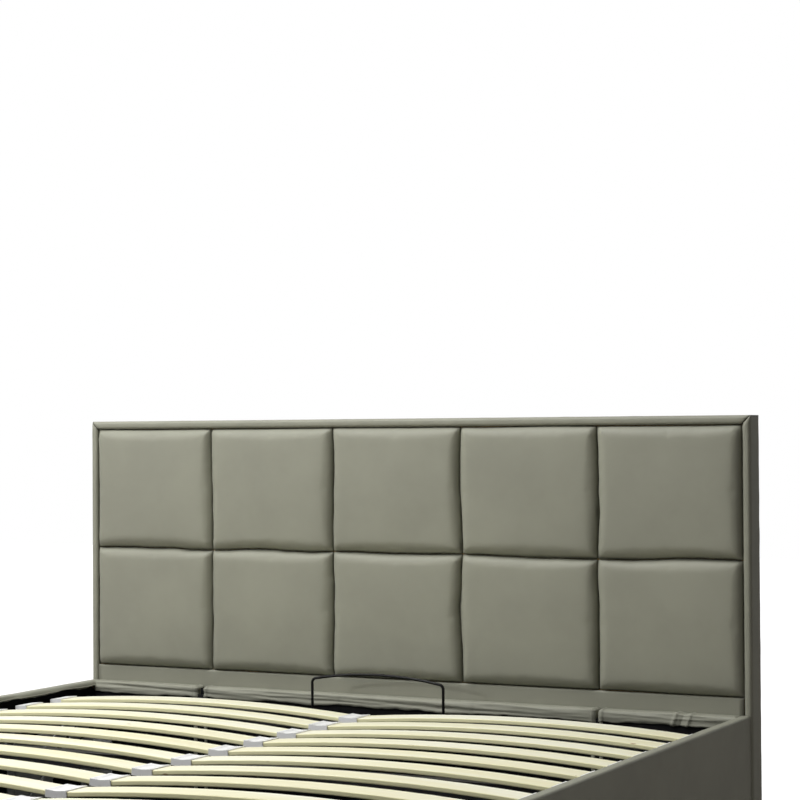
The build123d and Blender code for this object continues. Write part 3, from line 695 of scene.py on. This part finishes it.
def stitchDown(pad, centre, half, number):
    # waves along the seams, puckers beside them and creases at the corners
    near = padLook["nearRim"]
    for point in pad.data.vertices:
        x, z = point.co.x, point.co.z
        toSide = half.x - abs(x)
        toTop = half.z - abs(z)
        edge = min(toSide, toTop)
        corner = Vector((toSide, toTop))
        seamX = centre.x + math.copysign(half.x, x)
        seamZ = centre.z + math.copysign(half.z, z)
        world = point.co + centre
        sideWave = seamWave(world.z, seamX, abs(seamX) > boardHigh.x - near)
        topWave = seamWave(world.x, seamZ, not bandHigh.z + near <= seamZ <= boardHigh.z - near)
        along, seam = (world.z, seamX) if toSide < toTop else (world.x, seamZ)
        pucker = sum(share * ripple(along * often, seam * apart, seed)
                     for share, often, apart, seed in padLook["puckerWaves"])
        tight = 1 + padLook["cornerPull"] * fade(corner.length, padLook["cornerReach"])
        forward = padLook["pucker"] * pucker * tight * fade(edge, padLook["puckerReach"])
        forward -= padLook["crease"] * creaseAt(corner, number * 4 + (x > 0) * 2 + (z > 0))
        often = padLook["dentWaves"]
        forward += padLook["dent"] * ripple(world.x * often, world.z * often, number * 0.7)
        point.co = world
        point.co.x += sideWave * fade(toSide, padLook["seamReach"])
        point.co.z += topWave * fade(toTop, padLook["seamReach"])
        point.co.y -= forward * rollOver(edge, padLook["frontRoll"])
    pad.data.update()


def makePads():
    blank, half = padBlank()
    swell(blank, half)
    applyModifier(blank, "SUBSURF", levels=1, render_levels=1)
    closeBehind(blank, padHigh.y - padLow.y)
    for number in range(1, padLook["count"] + 1):
        node = "headboard_pad_" + str(number)
        low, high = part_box(node)
        centre = (low + high) / 2
        centre.y = low.y

        def nearSeam(co):
            edge = min(half.x - abs(co.x - centre.x), half.z - abs(co.z - centre.z))
            return fade(max(0.0, edge), padLook["seamWidth"])

        pad = copied(blank)
        pad.name = "pad" + str(number)
        stitchDown(pad, centre, half, number)
        markSeam(pad, nearSeam)
        install(pad, "upholstery", "base", node)
    bpy.data.objects.remove(blank)
    print("ten pads stitched down")


makePads()


# The padded border round the pads: two sides and a top that meet in mitres

borderLook = {
    "clear": 0.0004,
    "bulge": 0.0015,
    "bulgeReach": 0.004,
    "tuck": 0.012,
    "innerRound": 0.0055,
    "outerRound": 0.0062,
    "backRound": 0.003,
    "backFold": 0.020,
    "pinch": 0.0022,  # how far the cloth dips at the mitre
    "pinchWidth": 0.0032,
    "crease": 0.0013,
    "creaseReach": 0.018,
    "frontReach": 0.012,
    "soft": 0.0006,
    "behindFront": 0.01,
    "cell": 0.005,
    "run": 0.006,
    "seamWidth": 0.0016,
    "mitreWidth": 0.0008,
}


def borderSection(width, depth):
    # (outwards, backwards) from behind the pads round the front to the back
    corners = [
        (borderLook["clear"], borderLook["tuck"], 0),
        (borderLook["clear"], 0, borderLook["innerRound"]),
        (width, 0, borderLook["outerRound"]),
        (width, depth, borderLook["backRound"]),
        (width - borderLook["backFold"] / 2, depth, 0),
    ]
    return roundedPath(corners, borderLook["run"])


def borderPoint(out, back, width, toMitre, along):
    # the bulge of the wadding, the dip at the mitre and its small creases
    behind = max(back, 0)
    bulge = borderLook["bulge"] * math.sin(math.pi * min(max(out / width, 0), 1))
    dip = borderLook["pinch"] * bell(toMitre / borderLook["pinchWidth"])
    dip -= borderLook["crease"] * ripple(along * 160, out * 260) * fade(toMitre, borderLook["creaseReach"])
    soft = borderLook["soft"] * ripple(along * 22, out * 60, back * 40)
    return (back - bulge * fade(behind, borderLook["bulgeReach"])
            + dip * fade(behind, borderLook["frontReach"]) + soft)


def borderEdge(out, back, along, seed):
    # behind the front it isn't quite straight
    return out + borderLook["soft"] * ripple(along * 26, seed) * (back > borderLook["behindFront"])


def borderStrip(name, section, long, middle, place):
    count = round(long / borderLook["cell"])
    strip = gridSheet(name, [i / count for i in range(count + 1)], section, place)
    return skinned(strip, middle)


def makeBorder():
    sideWidth = rimHigh.x - boardHigh.x
    topWidth = rimHigh.z - boardHigh.z
    sideTall = rimHigh.z - rimLow.z
    topLong = rimHigh.x - rimLow.x
    front = rimLow.y
    depth = battenHigh.y - front
    sideSection = borderSection(sideWidth, depth)
    topSection = borderSection(topWidth, depth)

    def placeSide(way):
        def place(share, point):
            out, back = point
            mitre = boardHigh.z + out * topWidth / sideWidth
            z = rimLow.z + (mitre - rimLow.z) * share
            y = front + borderPoint(out, back, sideWidth, mitre - z, z + way)
            return way * (boardHigh.x + borderEdge(out, back, z, way)), y, z
        return place

    def placeTop(share, point):
        out, back = point
        mitre = boardHigh.x + out * sideWidth / topWidth
        x = -mitre + 2 * mitre * share
        y = front + borderPoint(out, back, topWidth, mitre - abs(x), x)
        return x, y, boardHigh.z + borderEdge(out, back, x, 9.0)

    strips = []
    for way in (-1, 1):
        middle = (way * boardHigh.x, front + depth / 2, (rimLow.z + rimHigh.z) / 2)
        strips.append(borderStrip("borderSide", sideSection, sideTall, middle, placeSide(way)))
    middle = (0, front + depth / 2, boardHigh.z)
    strips.append(borderStrip("borderTop", topSection, topLong, middle, placeTop))
    area = 2 * pathLength(sideSection) * sideTall + pathLength(topSection) * topLong
    border = joined("border", strips)
    markSeam(border, seamOfBorder(sideWidth, topWidth))
    install(border, "upholstery", "base", "headboard_border")
    pathLength(topSection)
    area / pathLength(topSection)
    print("border wrapped")


def seamOfBorder(sideWidth, topWidth):
    def share(co):
        across = max(abs(co.x) - boardHigh.x, 0) / sideWidth
        up = max(co.z - boardHigh.z, 0) / topWidth
        inner = max(across, up) * sideWidth
        mitre = abs(across - up) * sideWidth if min(across, up) > 0 else 1.0
        seams = fade(inner, borderLook["seamWidth"]) + 0.6 * fade(mitre, borderLook["mitreWidth"])
        return min(1.0, seams)
    return share


makeBorder()


# The plain band under the pads

bandLook = {
    "cell": 0.012,
    "clear": 0.0005,
    "frontClear": 0.0004,
    "topRound": 0.004,
    "lowRound": 0.002,
    "topEnd": 0.001,  # how far before the back of its panel it ends, at the top and below
    "lowEnd": 0.002,
    "wave": 0.0007,
    "waveReach": 0.5,
    "sideWave": 0.0008,
    "sideReach": 0.02,
    # share of the seam colour laid over the whole band as painted shade
    "paintedShade": 0.1,
    "seamWidth": 0.0014,
}


def makeBand():
    front = bandLow.y + bandLook["frontClear"]
    top = bandHigh.z - bandLook["clear"]
    bottom = bandLow.z + bandLook["clear"]
    corners = [
        (bandHigh.y - bandLook["topEnd"], top, 0),
        (front, top, bandLook["topRound"]),
        (front, bottom, bandLook["lowRound"]),
        (bandHigh.y - bandLook["lowEnd"], bottom, 0),
    ]
    section = roundedPath(corners, bandLook["cell"])
    stations = steps(bandLow.x, bandHigh.x, bandLook["cell"], bandLook["clear"])

    def place(x, point):
        y, z = point
        y += bandLook["wave"] * ripple(x * 5, z * 16, 3.0) * fade(bandHigh.z - z, bandLook["waveReach"])
        nearSide = fade(bandHigh.x - abs(x), bandLook["sideReach"])
        return x, y + bandLook["sideWave"] * nearSide * ripple(x * 9, z * 60), z

    # dark beside the side seams, with a painted shade over the whole band
    def nearSeam(co):
        return max(bandLook["paintedShade"], 0.8 * fade(bandHigh.x - abs(co.x), bandLook["seamWidth"]))

    band = gridSheet("lowerBand", stations, section, place)
    skinned(band, (0, bandHigh.y, (bandLow.z + bandHigh.z) / 2))
    markSeam(band, nearSeam)
    install(band, "upholstery", "base", "headboard_lower_panel")
    pathLength(section)


makeBand()


# Covers of the side rails and the foot panel: leather cloth over thin wadding

def jagged(along, seed):
    # the uneven cut of an inner edge
    return coverLook["jag"] * waved(along, coverLook["jagWaves"], seed)


def railPath(inner, outer, low, high, lip=0.0):
    # (across, up) from the inner edge over the top and down under the rail
    way = 1 if outer > inner else -1
    face = inner + way * coverLook["clear"]
    stripLow = high - coverLook["strip"]
    under = [(face, stripLow - lip / 3, 0)] if lip else []
    corners = under + [
        (face - way * lip, stripLow, lip / 2),
        (face - way * lip, high, coverLook["innerRound"]),
        (outer, high, coverLook["round"]),
        (outer, low, coverLook["round"]),
        (inner + way * coverLook["under"], low, 0),
    ]
    return roundedPath(corners, coverLook["run"])


def coverWave(along, up, top, seed):
    # soft dents, stronger along the top edge
    slow = ripple(along * 4.5, up * 9, seed)
    quick = ripple(along * 16, up * 26, seed + 3)
    return coverLook["dent"] * (slow + 0.5 * quick * (0.4 + fade(top - up, coverLook["topReach"])))


def makeSideCover(way, name, node):
    section = railPath(railLow.x, railHigh.x, railLow.z, railHigh.z, coverLook["lip"])
    stations = steps(railLow.y, railHigh.y, coverLook["cell"], coverLook["endClear"])
    edgeLow = railHigh.z - coverLook["strip"] - coverLook["lip"]
    edgeHigh = railHigh.z - coverLook["round"]
    middleX = (railLow.x + railHigh.x) / 2
    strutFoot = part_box("strut_cylinder_right")[0].y

    def place(y, point):
        x, z = point
        if x < railLow.x:
            before = (y - strutFoot - coverLook["dentFrom"]) / coverLook["dentFade"]
            after = (strutFoot + coverLook["dentTo"] - y) / coverLook["dentFade"]
            pressed = max(0.0, min(1.0, before + 1, after + 1))
            x = railLow.x - (railLow.x - x) * (1 - coverLook["dented"] * pressed)
        if x < middleX and edgeLow < z < edgeHigh:
            z += jagged(y, way * 4.0) * (edgeHigh - z) / (coverLook["strip"] - coverLook["round"])
        wave = coverWave(y, z, railHigh.z, way * 2.0)
        if z > railHigh.z - coverLook["topDepth"]:
            z += wave
        elif x > middleX:
            x += wave
        return way * x, y, z

    cover = gridSheet(name, stations, section, place)
    skinned(cover, (way * middleX, 0, (railLow.z + railHigh.z) / 2))
    install(cover, "upholstery", "base", node)
    pathLength(section)


makeSideCover(1, "coverRight", "side_rail_cover_right")
makeSideCover(-1, "coverLeft", "side_rail_cover_left")


def makeFootCover():
    r = coverLook["round"]
    section = railPath(footHigh.y, footLow.y, footLow.z, footHigh.z)
    ends = [r * (1 - math.cos(math.pi / 2 * i / arcSteps)) for i in range(arcSteps + 1)]
    stations = [footLow.x + e for e in ends]
    stations += steps(footLow.x, footHigh.x, coverLook["cell"], r)[1:-1]
    stations += [footHigh.x - e for e in reversed(ends)]
    middle = (footLow + footHigh) / 2

    def place(x, point):
        y, z = point
        gap = max(0.0, r - min(x - footLow.x, footHigh.x - x))
        inset = r - math.sqrt(max(0.0, r * r - gap * gap))
        if y < middle.y:
            y += inset - coverWave(x, z, footHigh.z, 7.0) * (inset == 0)
        if z > middle.z:
            z -= inset
        if point.x > middle.y and middle.z < z < footHigh.z - r and inset == 0:
            z += jagged(x, 8.0) * (footHigh.z - r - point.y) / (coverLook["strip"] - r)
        return x, y, z

    cover = gridSheet("coverFoot", stations, section, place)
    for end in (footLow.x, footHigh.x):
        edit("VERT", cover.data.vertices, lambda point: abs(point.co.x - end) < 1e-5)
        bpy.ops.mesh.edge_face_add()
    bpy.ops.mesh.select_all(action="SELECT")
    bpy.ops.mesh.normals_make_consistent(inside=False)
    editMode(False)
    skinned(cover, (0, middle.y, middle.z))
    install(cover, "upholstery", "base", "foot_panel_cover")
    pathLength(section)


makeFootCover()
print("rail and foot covers wrapped")


# Covers of the head rail: three padded bars with wrinkled fronts and piped ends

headRailLook = {
    "voxel": 0.0021,
    "round": 0.0065,
    "backClear": 0.0004,
    "wrinkle": 0.0027,
    "frontReach": 0.010,
    "pipe": 0.0014,
    "pipeFromEnd": 0.0085,
    "pipeWidth": 0.0028,
    "folds": ((0.652, 0.0026), (0.668, -0.0016), (0.683, 0.0021)),  # (X, height), in the right cover
    "foldSlant": 0.35,
    "foldWidth": 0.0042,
    "edgeWave": 0.0042,
    "edgeWaves": ((1.0, 12, 3.3), (0.6, 37, 1.1)),
    "edgeReach": 0.010,
    "seamBehindPipe": 0.003,
    "seamWidth": 0.0012,
}


def roundBar(piece, low, high, closed):
    # rounds the top edges and the closed ends by pushing points out from an inner box
    r = headRailLook["round"]
    innerLow = Vector((low.x + r * closed[0], low.y + r, low.z))
    innerHigh = Vector((high.x - r * closed[1], high.y - r / 2, high.z - r))
    for point in piece.data.vertices:
        core = Vector([min(max(p, a), b) for p, a, b in zip(point.co, innerLow, innerHigh)])
        away = point.co - core
        reach = [away.x != 0, away.y < 0, away.z > 0]
        if sum(reach) > 1:
            point.co = core + away.normalized() * min(away.length, r)
    piece.data.update()


def makeHeadCover(name, node, closed):
    nodeLow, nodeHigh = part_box(node)
    low = Vector((nodeLow.x, nodeLow.y, nodeHigh.z - coverLook["headStrip"]))
    high = Vector((nodeHigh.x, nodeHigh.y - headRailLook["backClear"], nodeHigh.z))
    ends = [(end, way) for end, way, shut in zip((low.x, high.x), (1, -1), closed) if shut]
    folds = headRailLook["folds"] if node == "head_rail_cover_right" else ()
    bar = made(bpy.ops.mesh.primitive_cube_add, size=1, location=(low + high) / 2, scale=high - low)
    bpy.ops.object.transform_apply()
    applyModifier(bar, "REMESH", mode="VOXEL", voxel_size=headRailLook["voxel"])
    roundBar(bar, low, high, closed)

    def fromPipe(co, end):
        return abs(co.x - end) - headRailLook["pipeFromEnd"]

    def wrinkle(co):
        # long ridges with narrow valleys between them, strongest on the front
        long = 0.6 - 1.7 * abs(ripple(co.x * 3.1, co.z * 105 + co.x * 2, 2.0))
        long += 0.35 * ripple(co.x * 19, co.z * 210, 5.0)
        front = 0.2 + 0.8 * fade(co.y - low.y, headRailLook["frontReach"])
        height = headRailLook["wrinkle"] * long * front
        for end, way in ends:
            height += headRailLook["pipe"] * bell(fromPipe(co, end) / headRailLook["pipeWidth"])
        for at, tall in folds:
            off = co.x - at - (co.z - low.z) * headRailLook["foldSlant"]
            height += tall * bell(off / headRailLook["foldWidth"])
        return height

    def behindPipe(co):
        off = [abs(fromPipe(co, end) - headRailLook["seamBehindPipe"]) for end, way in ends]
        return 0.55 * sum(fade(distance, headRailLook["seamWidth"]) for distance in off)

    crumple(bar, wrinkle)
    for point in bar.data.vertices:
        share = max(0.0, 1 - (point.co.z - low.z) / headRailLook["edgeReach"])
        wave = waved(point.co.x, headRailLook["edgeWaves"])
        point.co.z += headRailLook["edgeWave"] * wave * share
    flaps = [endFlap(end, way, nodeLow, low.z) for end, way in ends]
    cover = joined(name, [bar] + flaps)
    bpy.ops.object.shade_smooth()
    markSeam(cover, behindPipe)
    install(cover, "upholstery", "base", node)


flapLook = {"clear": 0.001, "fold": 0.010, "off": 0.0006, "round": 0.004, "cell": 0.006, "wave": 0.0008}


def endFlap(end, way, nodeLow, top):
    # the cloth that goes down the end of a board beside a gap
    front = headRailLow.y + flapLook["clear"]
    back = headRailHigh.y - flapLook["clear"]
    face = end + way * flapLook["off"]
    corners = [(end + way * flapLook["fold"], front, 0), (face, front, flapLook["round"]), (face, back, 0)]

    def place(z, point):
        x, y = point
        return x + way * flapLook["wave"] * (0.5 + ripple(y * 70, z * 18, end)), y, z

    rows = steps(nodeLow.z, top + flapLook["cell"], 2 * flapLook["cell"])
    flap = gridSheet("endFlap", rows, roundedPath(corners, flapLook["cell"]), place)
    return skinned(flap, (end + way * 2 * flapLook["fold"], back, (nodeLow.z + top) / 2))


makeHeadCover("headCoverLeft", "head_rail_cover_left", (0, 1))
makeHeadCover("headCoverCentre", "head_rail_cover_centre", (1, 1))
makeHeadCover("headCoverRight", "head_rail_cover_right", (1, 0))
print("head rail covered")


# Black lining inside the rails, and the cloth on the headboard's back

clothLook = {
    "thick": 0.0005,
    "slack": 0.0006,
    "corner": 0.004,
    "inset": 0.0011,
    "bottom": 0.0005,
    "rows": 14,
    "run": 0.014,
    "cell": 0.012,
    "underStrip": 0.010,  # how far the lining goes up behind the covers' strips
    "underHead": 0.6,  # the share of that at the head rail, and at the other rails
    "underSide": 0.9,
    "nearHead": 0.01,
    "backOff": 0.0009,
    "backWave": 0.0003,
    "pullReach": 0.04,
    "gapClear": 0.0021,
    "gapDepth": 0.011,
    "gapLow": 0.001,
    "gapHigh": 0.004,
}


def makeLining():
    x = liningHigh.x - clothLook["inset"]
    footY = liningLow.y + clothLook["inset"]
    headY = liningHigh.y - clothLook["inset"]
    r = clothLook["corner"]
    corners = [(0, footY, 0), (x, footY, r), (x, headY, r), (-x, headY, r), (-x, footY, r), (0, footY, 0)]
    around = roundedPath(corners, clothLook["run"])
    rows = [i / clothLook["rows"] for i in range(clothLook["rows"] + 1)]

    def place(spot, share):
        nearHead = spot.y > headY - clothLook["nearHead"]
        strip = coverLook["headStrip"] if nearHead else coverLook["strip"]
        under = clothLook["underStrip"] * clothLook["underHead" if nearHead else "underSide"]
        top = railHigh.z - strip + under
        z = liningLow.z + clothLook["bottom"] + (top - liningLow.z) * share
        slack = clothLook["slack"] * (0.5 + 0.5 * ripple(spot.x * 11, spot.y * 11, z * 16))
        away = Vector((spot.x / x, (spot.y - (footY + headY) / 2) / ((headY - footY) / 2)))
        if abs(away.x) > abs(away.y):
            return spot.x + math.copysign(slack, spot.x), spot.y, z
        return spot.x, spot.y + math.copysign(slack, away.y), z

    lining = skinned(gridSheet("lining", around, rows, place), (0, 0, 0.2), clothLook["thick"])
    install(lining, "black_cloth", "base", "rail_lining")
    pathLength(around)


def makeGapCloth():
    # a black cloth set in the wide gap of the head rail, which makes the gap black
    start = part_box("head_rail_cover_left")[1].x + clothLook["gapClear"]
    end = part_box("head_rail_cover_centre")[0].x - clothLook["gapClear"]
    y = headRailLow.y + clothLook["gapDepth"]
    bottom = liningLow.z + clothLook["gapLow"]
    top = headRailHigh.z - clothLook["gapHigh"]
    rows = steps(bottom, top, clothLook["cell"])

    def place(x, z):
        return x, y + clothLook["slack"] * ripple(x * 40, z * 16, 4.0), z

    columns = steps(start, end, clothLook["cell"] / 3)
    tab = skinned(gridSheet("gapCloth", columns, rows, place), (start, y + 1, 0.2), clothLook["thick"])
    install(tab, "black_cloth", "base")


def makeBackCloth():
    def place(x, z):
        toEdge = min(clothHigh.x - abs(x), z - clothLow.z, clothHigh.z - z)
        pull = fade(toEdge, clothLook["pullReach"]) * ripple(x * 20, z * 20)
        wave = clothLook["backWave"] * (ripple(x * 3, z * 3, 2.0) + pull)
        return x, clothLow.y + clothLook["backOff"] + wave, z

    stations = steps(clothLow.x, clothHigh.x, clothLook["cell"])
    rows = steps(clothLow.z, clothHigh.z, clothLook["cell"])
    cloth = gridSheet("backCloth", stations, rows, place)
    skinned(cloth, (0, clothLow.y - 1, 0.5), clothLook["thick"])
    install(cloth, "black_cloth", "base", "headboard_back_cloth")


stapleLook = {
    "width": 0.011,
    "wire": 0.0007,
    "bevel": 0.00021,
    "pitch": 0.055,
    "fromEdge": 0.007,
    "fromSide": 0.03,  # where the first one stands in a row, and in a column
    "fromEnd": 0.04,
    "proud": 0.0004,
}


def stapleModel():
    staple = made(bpy.ops.mesh.primitive_cube_add, size=1)
    staple.scale = (stapleLook["width"], stapleLook["wire"], stapleLook["wire"])
    bpy.ops.object.transform_apply()
    editMode(True)
    bpy.ops.mesh.select_all(action="SELECT")
    bpy.ops.mesh.bevel(offset=stapleLook["bevel"], segments=1)
    editMode(False)
    return staple


def makeStaples():
    off = stapleLook["fromEdge"]
    spots = []
    for x in steps(clothLow.x, clothHigh.x, stapleLook["pitch"], stapleLook["fromSide"]):
        spots += [(x, clothHigh.z - off, 0), (x, clothLow.z + off, 0)]
    for z in steps(clothLow.z, clothHigh.z, stapleLook["pitch"], stapleLook["fromEnd"]):
        spots += [(clothHigh.x - off, z, math.pi / 2), (clothLow.x + off, z, math.pi / 2)]
    y = clothHigh.y - stapleLook["proud"]
    places = [Matrix.Translation((x, y, z)) @ Matrix.Rotation(turn, 4, "Y") for x, z, turn in spots]
    install(stamped("backStaples", stapleModel(), places), "zinc_steel", "base")


makeLining()
makeGapCloth()
makeBackCloth()
makeStaples()
print("black cloth in place")


# The pull strap: webbing folded over and box-stitched to the foot tube

strapLook = {
    "thick": 0.0022,
    "bevel": 0.0005,
    "cell": 0.002,
    "run": 0.004,
    "onTube": 0.008,  # how far over the tube the loop's inner run stands
    "tubeRound": 0.002,
    "play": 0.0001,
    "curl": 0.0006,
    "sway": 0.0012,
    "swayTurn": 40,
    "swayFrom": 0.03,  # above the strap's lower end, and below its top
    "swayTo": 0.01,
    "stitch": 0.0035,
    "thread": 0.0007,
    "threadGap": 0.0017,
    "boxInset": 0.005,
    "boxFrom": 0.004,
    "boxTo": 0.020,
}


def strapPath(low, high):
    tubeLow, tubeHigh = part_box("side_tubes")
    half = strapLook["thick"] / 2
    outer = low.y + half
    inner = tubeLow.y + strapLook["onTube"] + half
    radius = (inner - outer) / 2 - strapLook["play"]
    corners = [
        (outer, low.z, 0),
        (outer, high.z - half, radius),
        (inner, high.z - half, radius),
        (inner, tubeHigh.z + half, strapLook["tubeRound"]),
        (high.y, tubeHigh.z + half, 0),
    ]
    return roundedPath(corners, strapLook["run"])


def makeStrap():
    low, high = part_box("pull_strap")
    section = strapPath(low, high)
    swayLow = low.z + strapLook["swayFrom"]
    swayHigh = high.z - strapLook["swayTo"]

    def place(x, point):
        y, z = point
        curl = strapLook["curl"] * (abs(x) / high.x) ** 4
        sway = strapLook["sway"] * math.sin((z - low.z) * strapLook["swayTurn"]) * (swayLow < z < swayHigh)
        return x + 0.15 * sway, y + curl, z

    strap = gridSheet("pullStrap", steps(low.x, high.x, strapLook["cell"]), section, place)
    faceOutwards(strap, (low + high) / 2)
    applyModifier(strap, "SOLIDIFY", thickness=strapLook["thick"], offset=0)
    applyModifier(strap, "BEVEL", width=strapLook["bevel"], segments=2, limit_method="ANGLE")
    install(strap, "webbing", "lift_frame", "pull_strap")
    pathLength(section)
    stitchBox(low, high)


def stitchBox(low, high):
    # a square of thread with a cross in it
    left, right = low.x + strapLook["boxInset"], high.x - strapLook["boxInset"]
    bottom, top = low.z + strapLook["boxFrom"], low.z + strapLook["boxTo"]
    box = [(left, bottom), (right, bottom), (right, top), (left, top), (left, bottom)]
    model = made(bpy.ops.mesh.primitive_cylinder_add, vertices=6, radius=strapLook["thread"] / 2,
                 depth=strapLook["stitch"])
    places = []
    for line in (box, box[0:3:2], box[3:0:-2]):
        for start, end in zip(line, line[1:]):
            start = Vector((start[0], low.y, start[1]))
            end = Vector((end[0], low.y, end[1]))
            turn = (end - start).to_track_quat("Z", "X").to_matrix().to_4x4()
            count = max(1, int((end - start).length / (strapLook["stitch"] + strapLook["threadGap"])))
            for i in range(count):
                centre = start.lerp(end, (i + 0.5) / count)
                places.append(Matrix.Translation(centre) @ turn)
    install(stamped("strapStitches", model, places), "webbing", "lift_frame")


makeStrap()
print("strap stitched")


# Bolts: domed heads with a hexagon socket and a washer, on every bolt of the frame

boltLook = {
    "sides": 24,
    "head": 0.0058,
    "rise": 0.0031,
    "dome": 0.0012,
    "key": 0.0022,
    "keyDepth": 0.0016,
    "washer": 0.0065,
    "washerThick": 0.0009,
    "washerBevel": 0.0002,
    "stand": 0.0035,  # height of the plain head that it stands for
}


def looseParts(node):
    # the boxes of a node's separate solids
    mesh = nodes[node].data
    keys = [tuple(round(c, 6) for c in p.co) for p in mesh.vertices]
    solids = {key: {key} for key in keys}
    for face in mesh.polygons:
        first, *others = [keys[i] for i in face.vertices]
        for key in others:
            if solids[key] is not solids[first]:
                solids[first] |= solids[key]
                for moved in solids[key]:
                    solids[moved] = solids[first]
    boxes = set()
    for solid in solids.values():
        sides = list(zip(*solid))
        boxes.add((tuple(map(min, sides)), tuple(map(max, sides))))
    return [(Vector(low), Vector(high)) for low, high in sorted(boxes)]


def disc(radius, low, high):
    plate = made(bpy.ops.mesh.primitive_cylinder_add, vertices=boltLook["sides"], radius=radius,
                 depth=high - low, location=(0, 0, (low + high) / 2))
    bpy.ops.object.transform_apply()
    return plate


def boltModel():
    # along +Z: a washer, and on it a domed head with a socket
    washer = disc(boltLook["washer"], 0, boltLook["washerThick"])
    applyModifier(washer, "BEVEL", width=boltLook["washerBevel"], segments=1)
    head = disc(boltLook["head"], boltLook["washerThick"], boltLook["rise"])
    edit("FACE", head.data.polygons, lambda face: face.normal.z > 0.9)
    bpy.ops.mesh.bevel(offset=boltLook["dome"], segments=3)
    bpy.ops.mesh.inset(thickness=boltLook["head"] - boltLook["dome"] - boltLook["key"])
    bpy.ops.mesh.extrude_region_move(TRANSFORM_OT_translate={"value": (0, 0, -boltLook["keyDepth"])})
    editMode(False)
    return joined("boltModel", [head, washer])


def makeBolts():
    places = []
    for low, high in looseParts("frame_bolts"):
        axis = 0 if high.x - low.x > high.y - low.y else 1
        seat = (low + high) / 2
        inwards = Vector((0, 0, 0))
        inwards[axis] = -math.copysign(1, seat[axis])
        seat[axis] = low[axis] if seat[axis] > 0 else high[axis]
        turn = inwards.to_track_quat("Z", "Y").to_matrix().to_4x4()
        places.append(Matrix.Translation(seat - inwards * boltLook["stand"]) @ turn)
    whole = stamped("frameBolts", boltModel(), places)
    bpy.ops.object.shade_smooth_by_angle(angle=math.radians(35))
    install(whole, "zinc_steel", "base", "frame_bolts")


makeBolts()
print("bolts in place")


# Studio: a pale floor, a white surround and soft light from the upper left

studioLook = {
    "floor": tone(168, 162, 158),
    "floorGlow": 1.2,
    "floorShare": 0.78,  # share of the floor's own light near the object
    "surroundLeft": 0.10,  # strength of the surround's light from each side
    "surroundRight": 0.04,
    "surroundAbove": 0.15,
    "surroundBehind": 0.35,
    "mirrorRight": 0.18,  # what shiny surfaces see of it on the right
    "lights": {  # power, size and place
        "keyLight": (15.0, 0.9, (-2.0, -0.2, 2.2)),
        "topLight": (88.0, 1.8, (-0.75, -0.3, 3.4)),
        "frontLight": (17.0, 0.2, (-1.7, -2.0, 1.3)),
    },
    "aim": (0.0, 0.6, 0.5),
    "shadowReach": (1.5, 2.6),  # where the floor's shadows start and end their fade into white
}


def areaLight(name, power, size, place):
    light = bpy.data.lights.new(name, "AREA")
    light.shape = "DISK"
    light.size = size
    light.energy = power
    pointed(name, light, place, Vector(studioLook["aim"]) - Vector(place))


class Surround(Finish):
    # the world's nodes, made with the same helpers
    def __init__(self, world):
        world.use_nodes = True
        self.material = world
        self.tree = world.node_tree
        self.shader = self.tree.nodes["Background"]


def whiteSurround():
    world = bpy.data.worlds.new("studio")
    bpy.context.scene.world = world
    surround = Surround(world)
    direction = surround.add("TexCoord", {}, {}, "Generated")
    rightward = surround.axis(direction, "X").step(-0.9, 0.9)
    seen = surround.add("LightPath", {}, {}, "Is Camera Ray")
    mirrored = surround.add("LightPath", {}, {}, "Is Glossy Ray")
    left = studioLook["surroundLeft"]
    above = surround.axis(direction, "Z").step(0.1, 0.95)
    light = left + rightward * (studioLook["surroundRight"] - left)
    light = light + above * studioLook["surroundAbove"]
    behind = surround.axis(direction, "Y").step(0.2, 0.9)
    light = light + behind * studioLook["surroundBehind"]
    mirror = 1 - rightward * (1 - studioLook["mirrorRight"])
    lit = light + mirrored * (mirror - light)
    surround.set(Color=(1, 1, 1, 1), Strength=lit + seen * (1 - lit))


def paleFloor():
    floor = made(bpy.ops.mesh.primitive_grid_add, x_subdivisions=8, y_subdivisions=8, size=24)
    floor.name = "studioFloor"
    f = Finish("paleFloor")
    away = f.add("VectorMath", {"operation": "LENGTH"}, {0: f.place()}, 1)
    near, far = studioLook["shadowReach"]
    seen = f.add("LightPath", {}, {}, "Is Camera Ray")
    glow = f.add("Emission", {}, {"Strength": studioLook["floorGlow"]})
    f.set(Base_Color=studioLook["floor"], Roughness=0.9)
    close = studioLook["floorShare"]
    share = seen * (close + (1 - close) * away.step(near, far))
    mixed = f.add("MixShader", {}, {0: share, 1: Link(f, f.shader.outputs[0]), 2: glow})
    f.feed(f.tree.nodes["Material Output"].inputs["Surface"], mixed)
    floor.data.materials.append(f.material)


for name, settings in studioLook["lights"].items():
    areaLight(name, *settings)
whiteSurround()
paleFloor()
bpy.context.scene.view_settings.view_transform = "Standard"
print("studio lit")
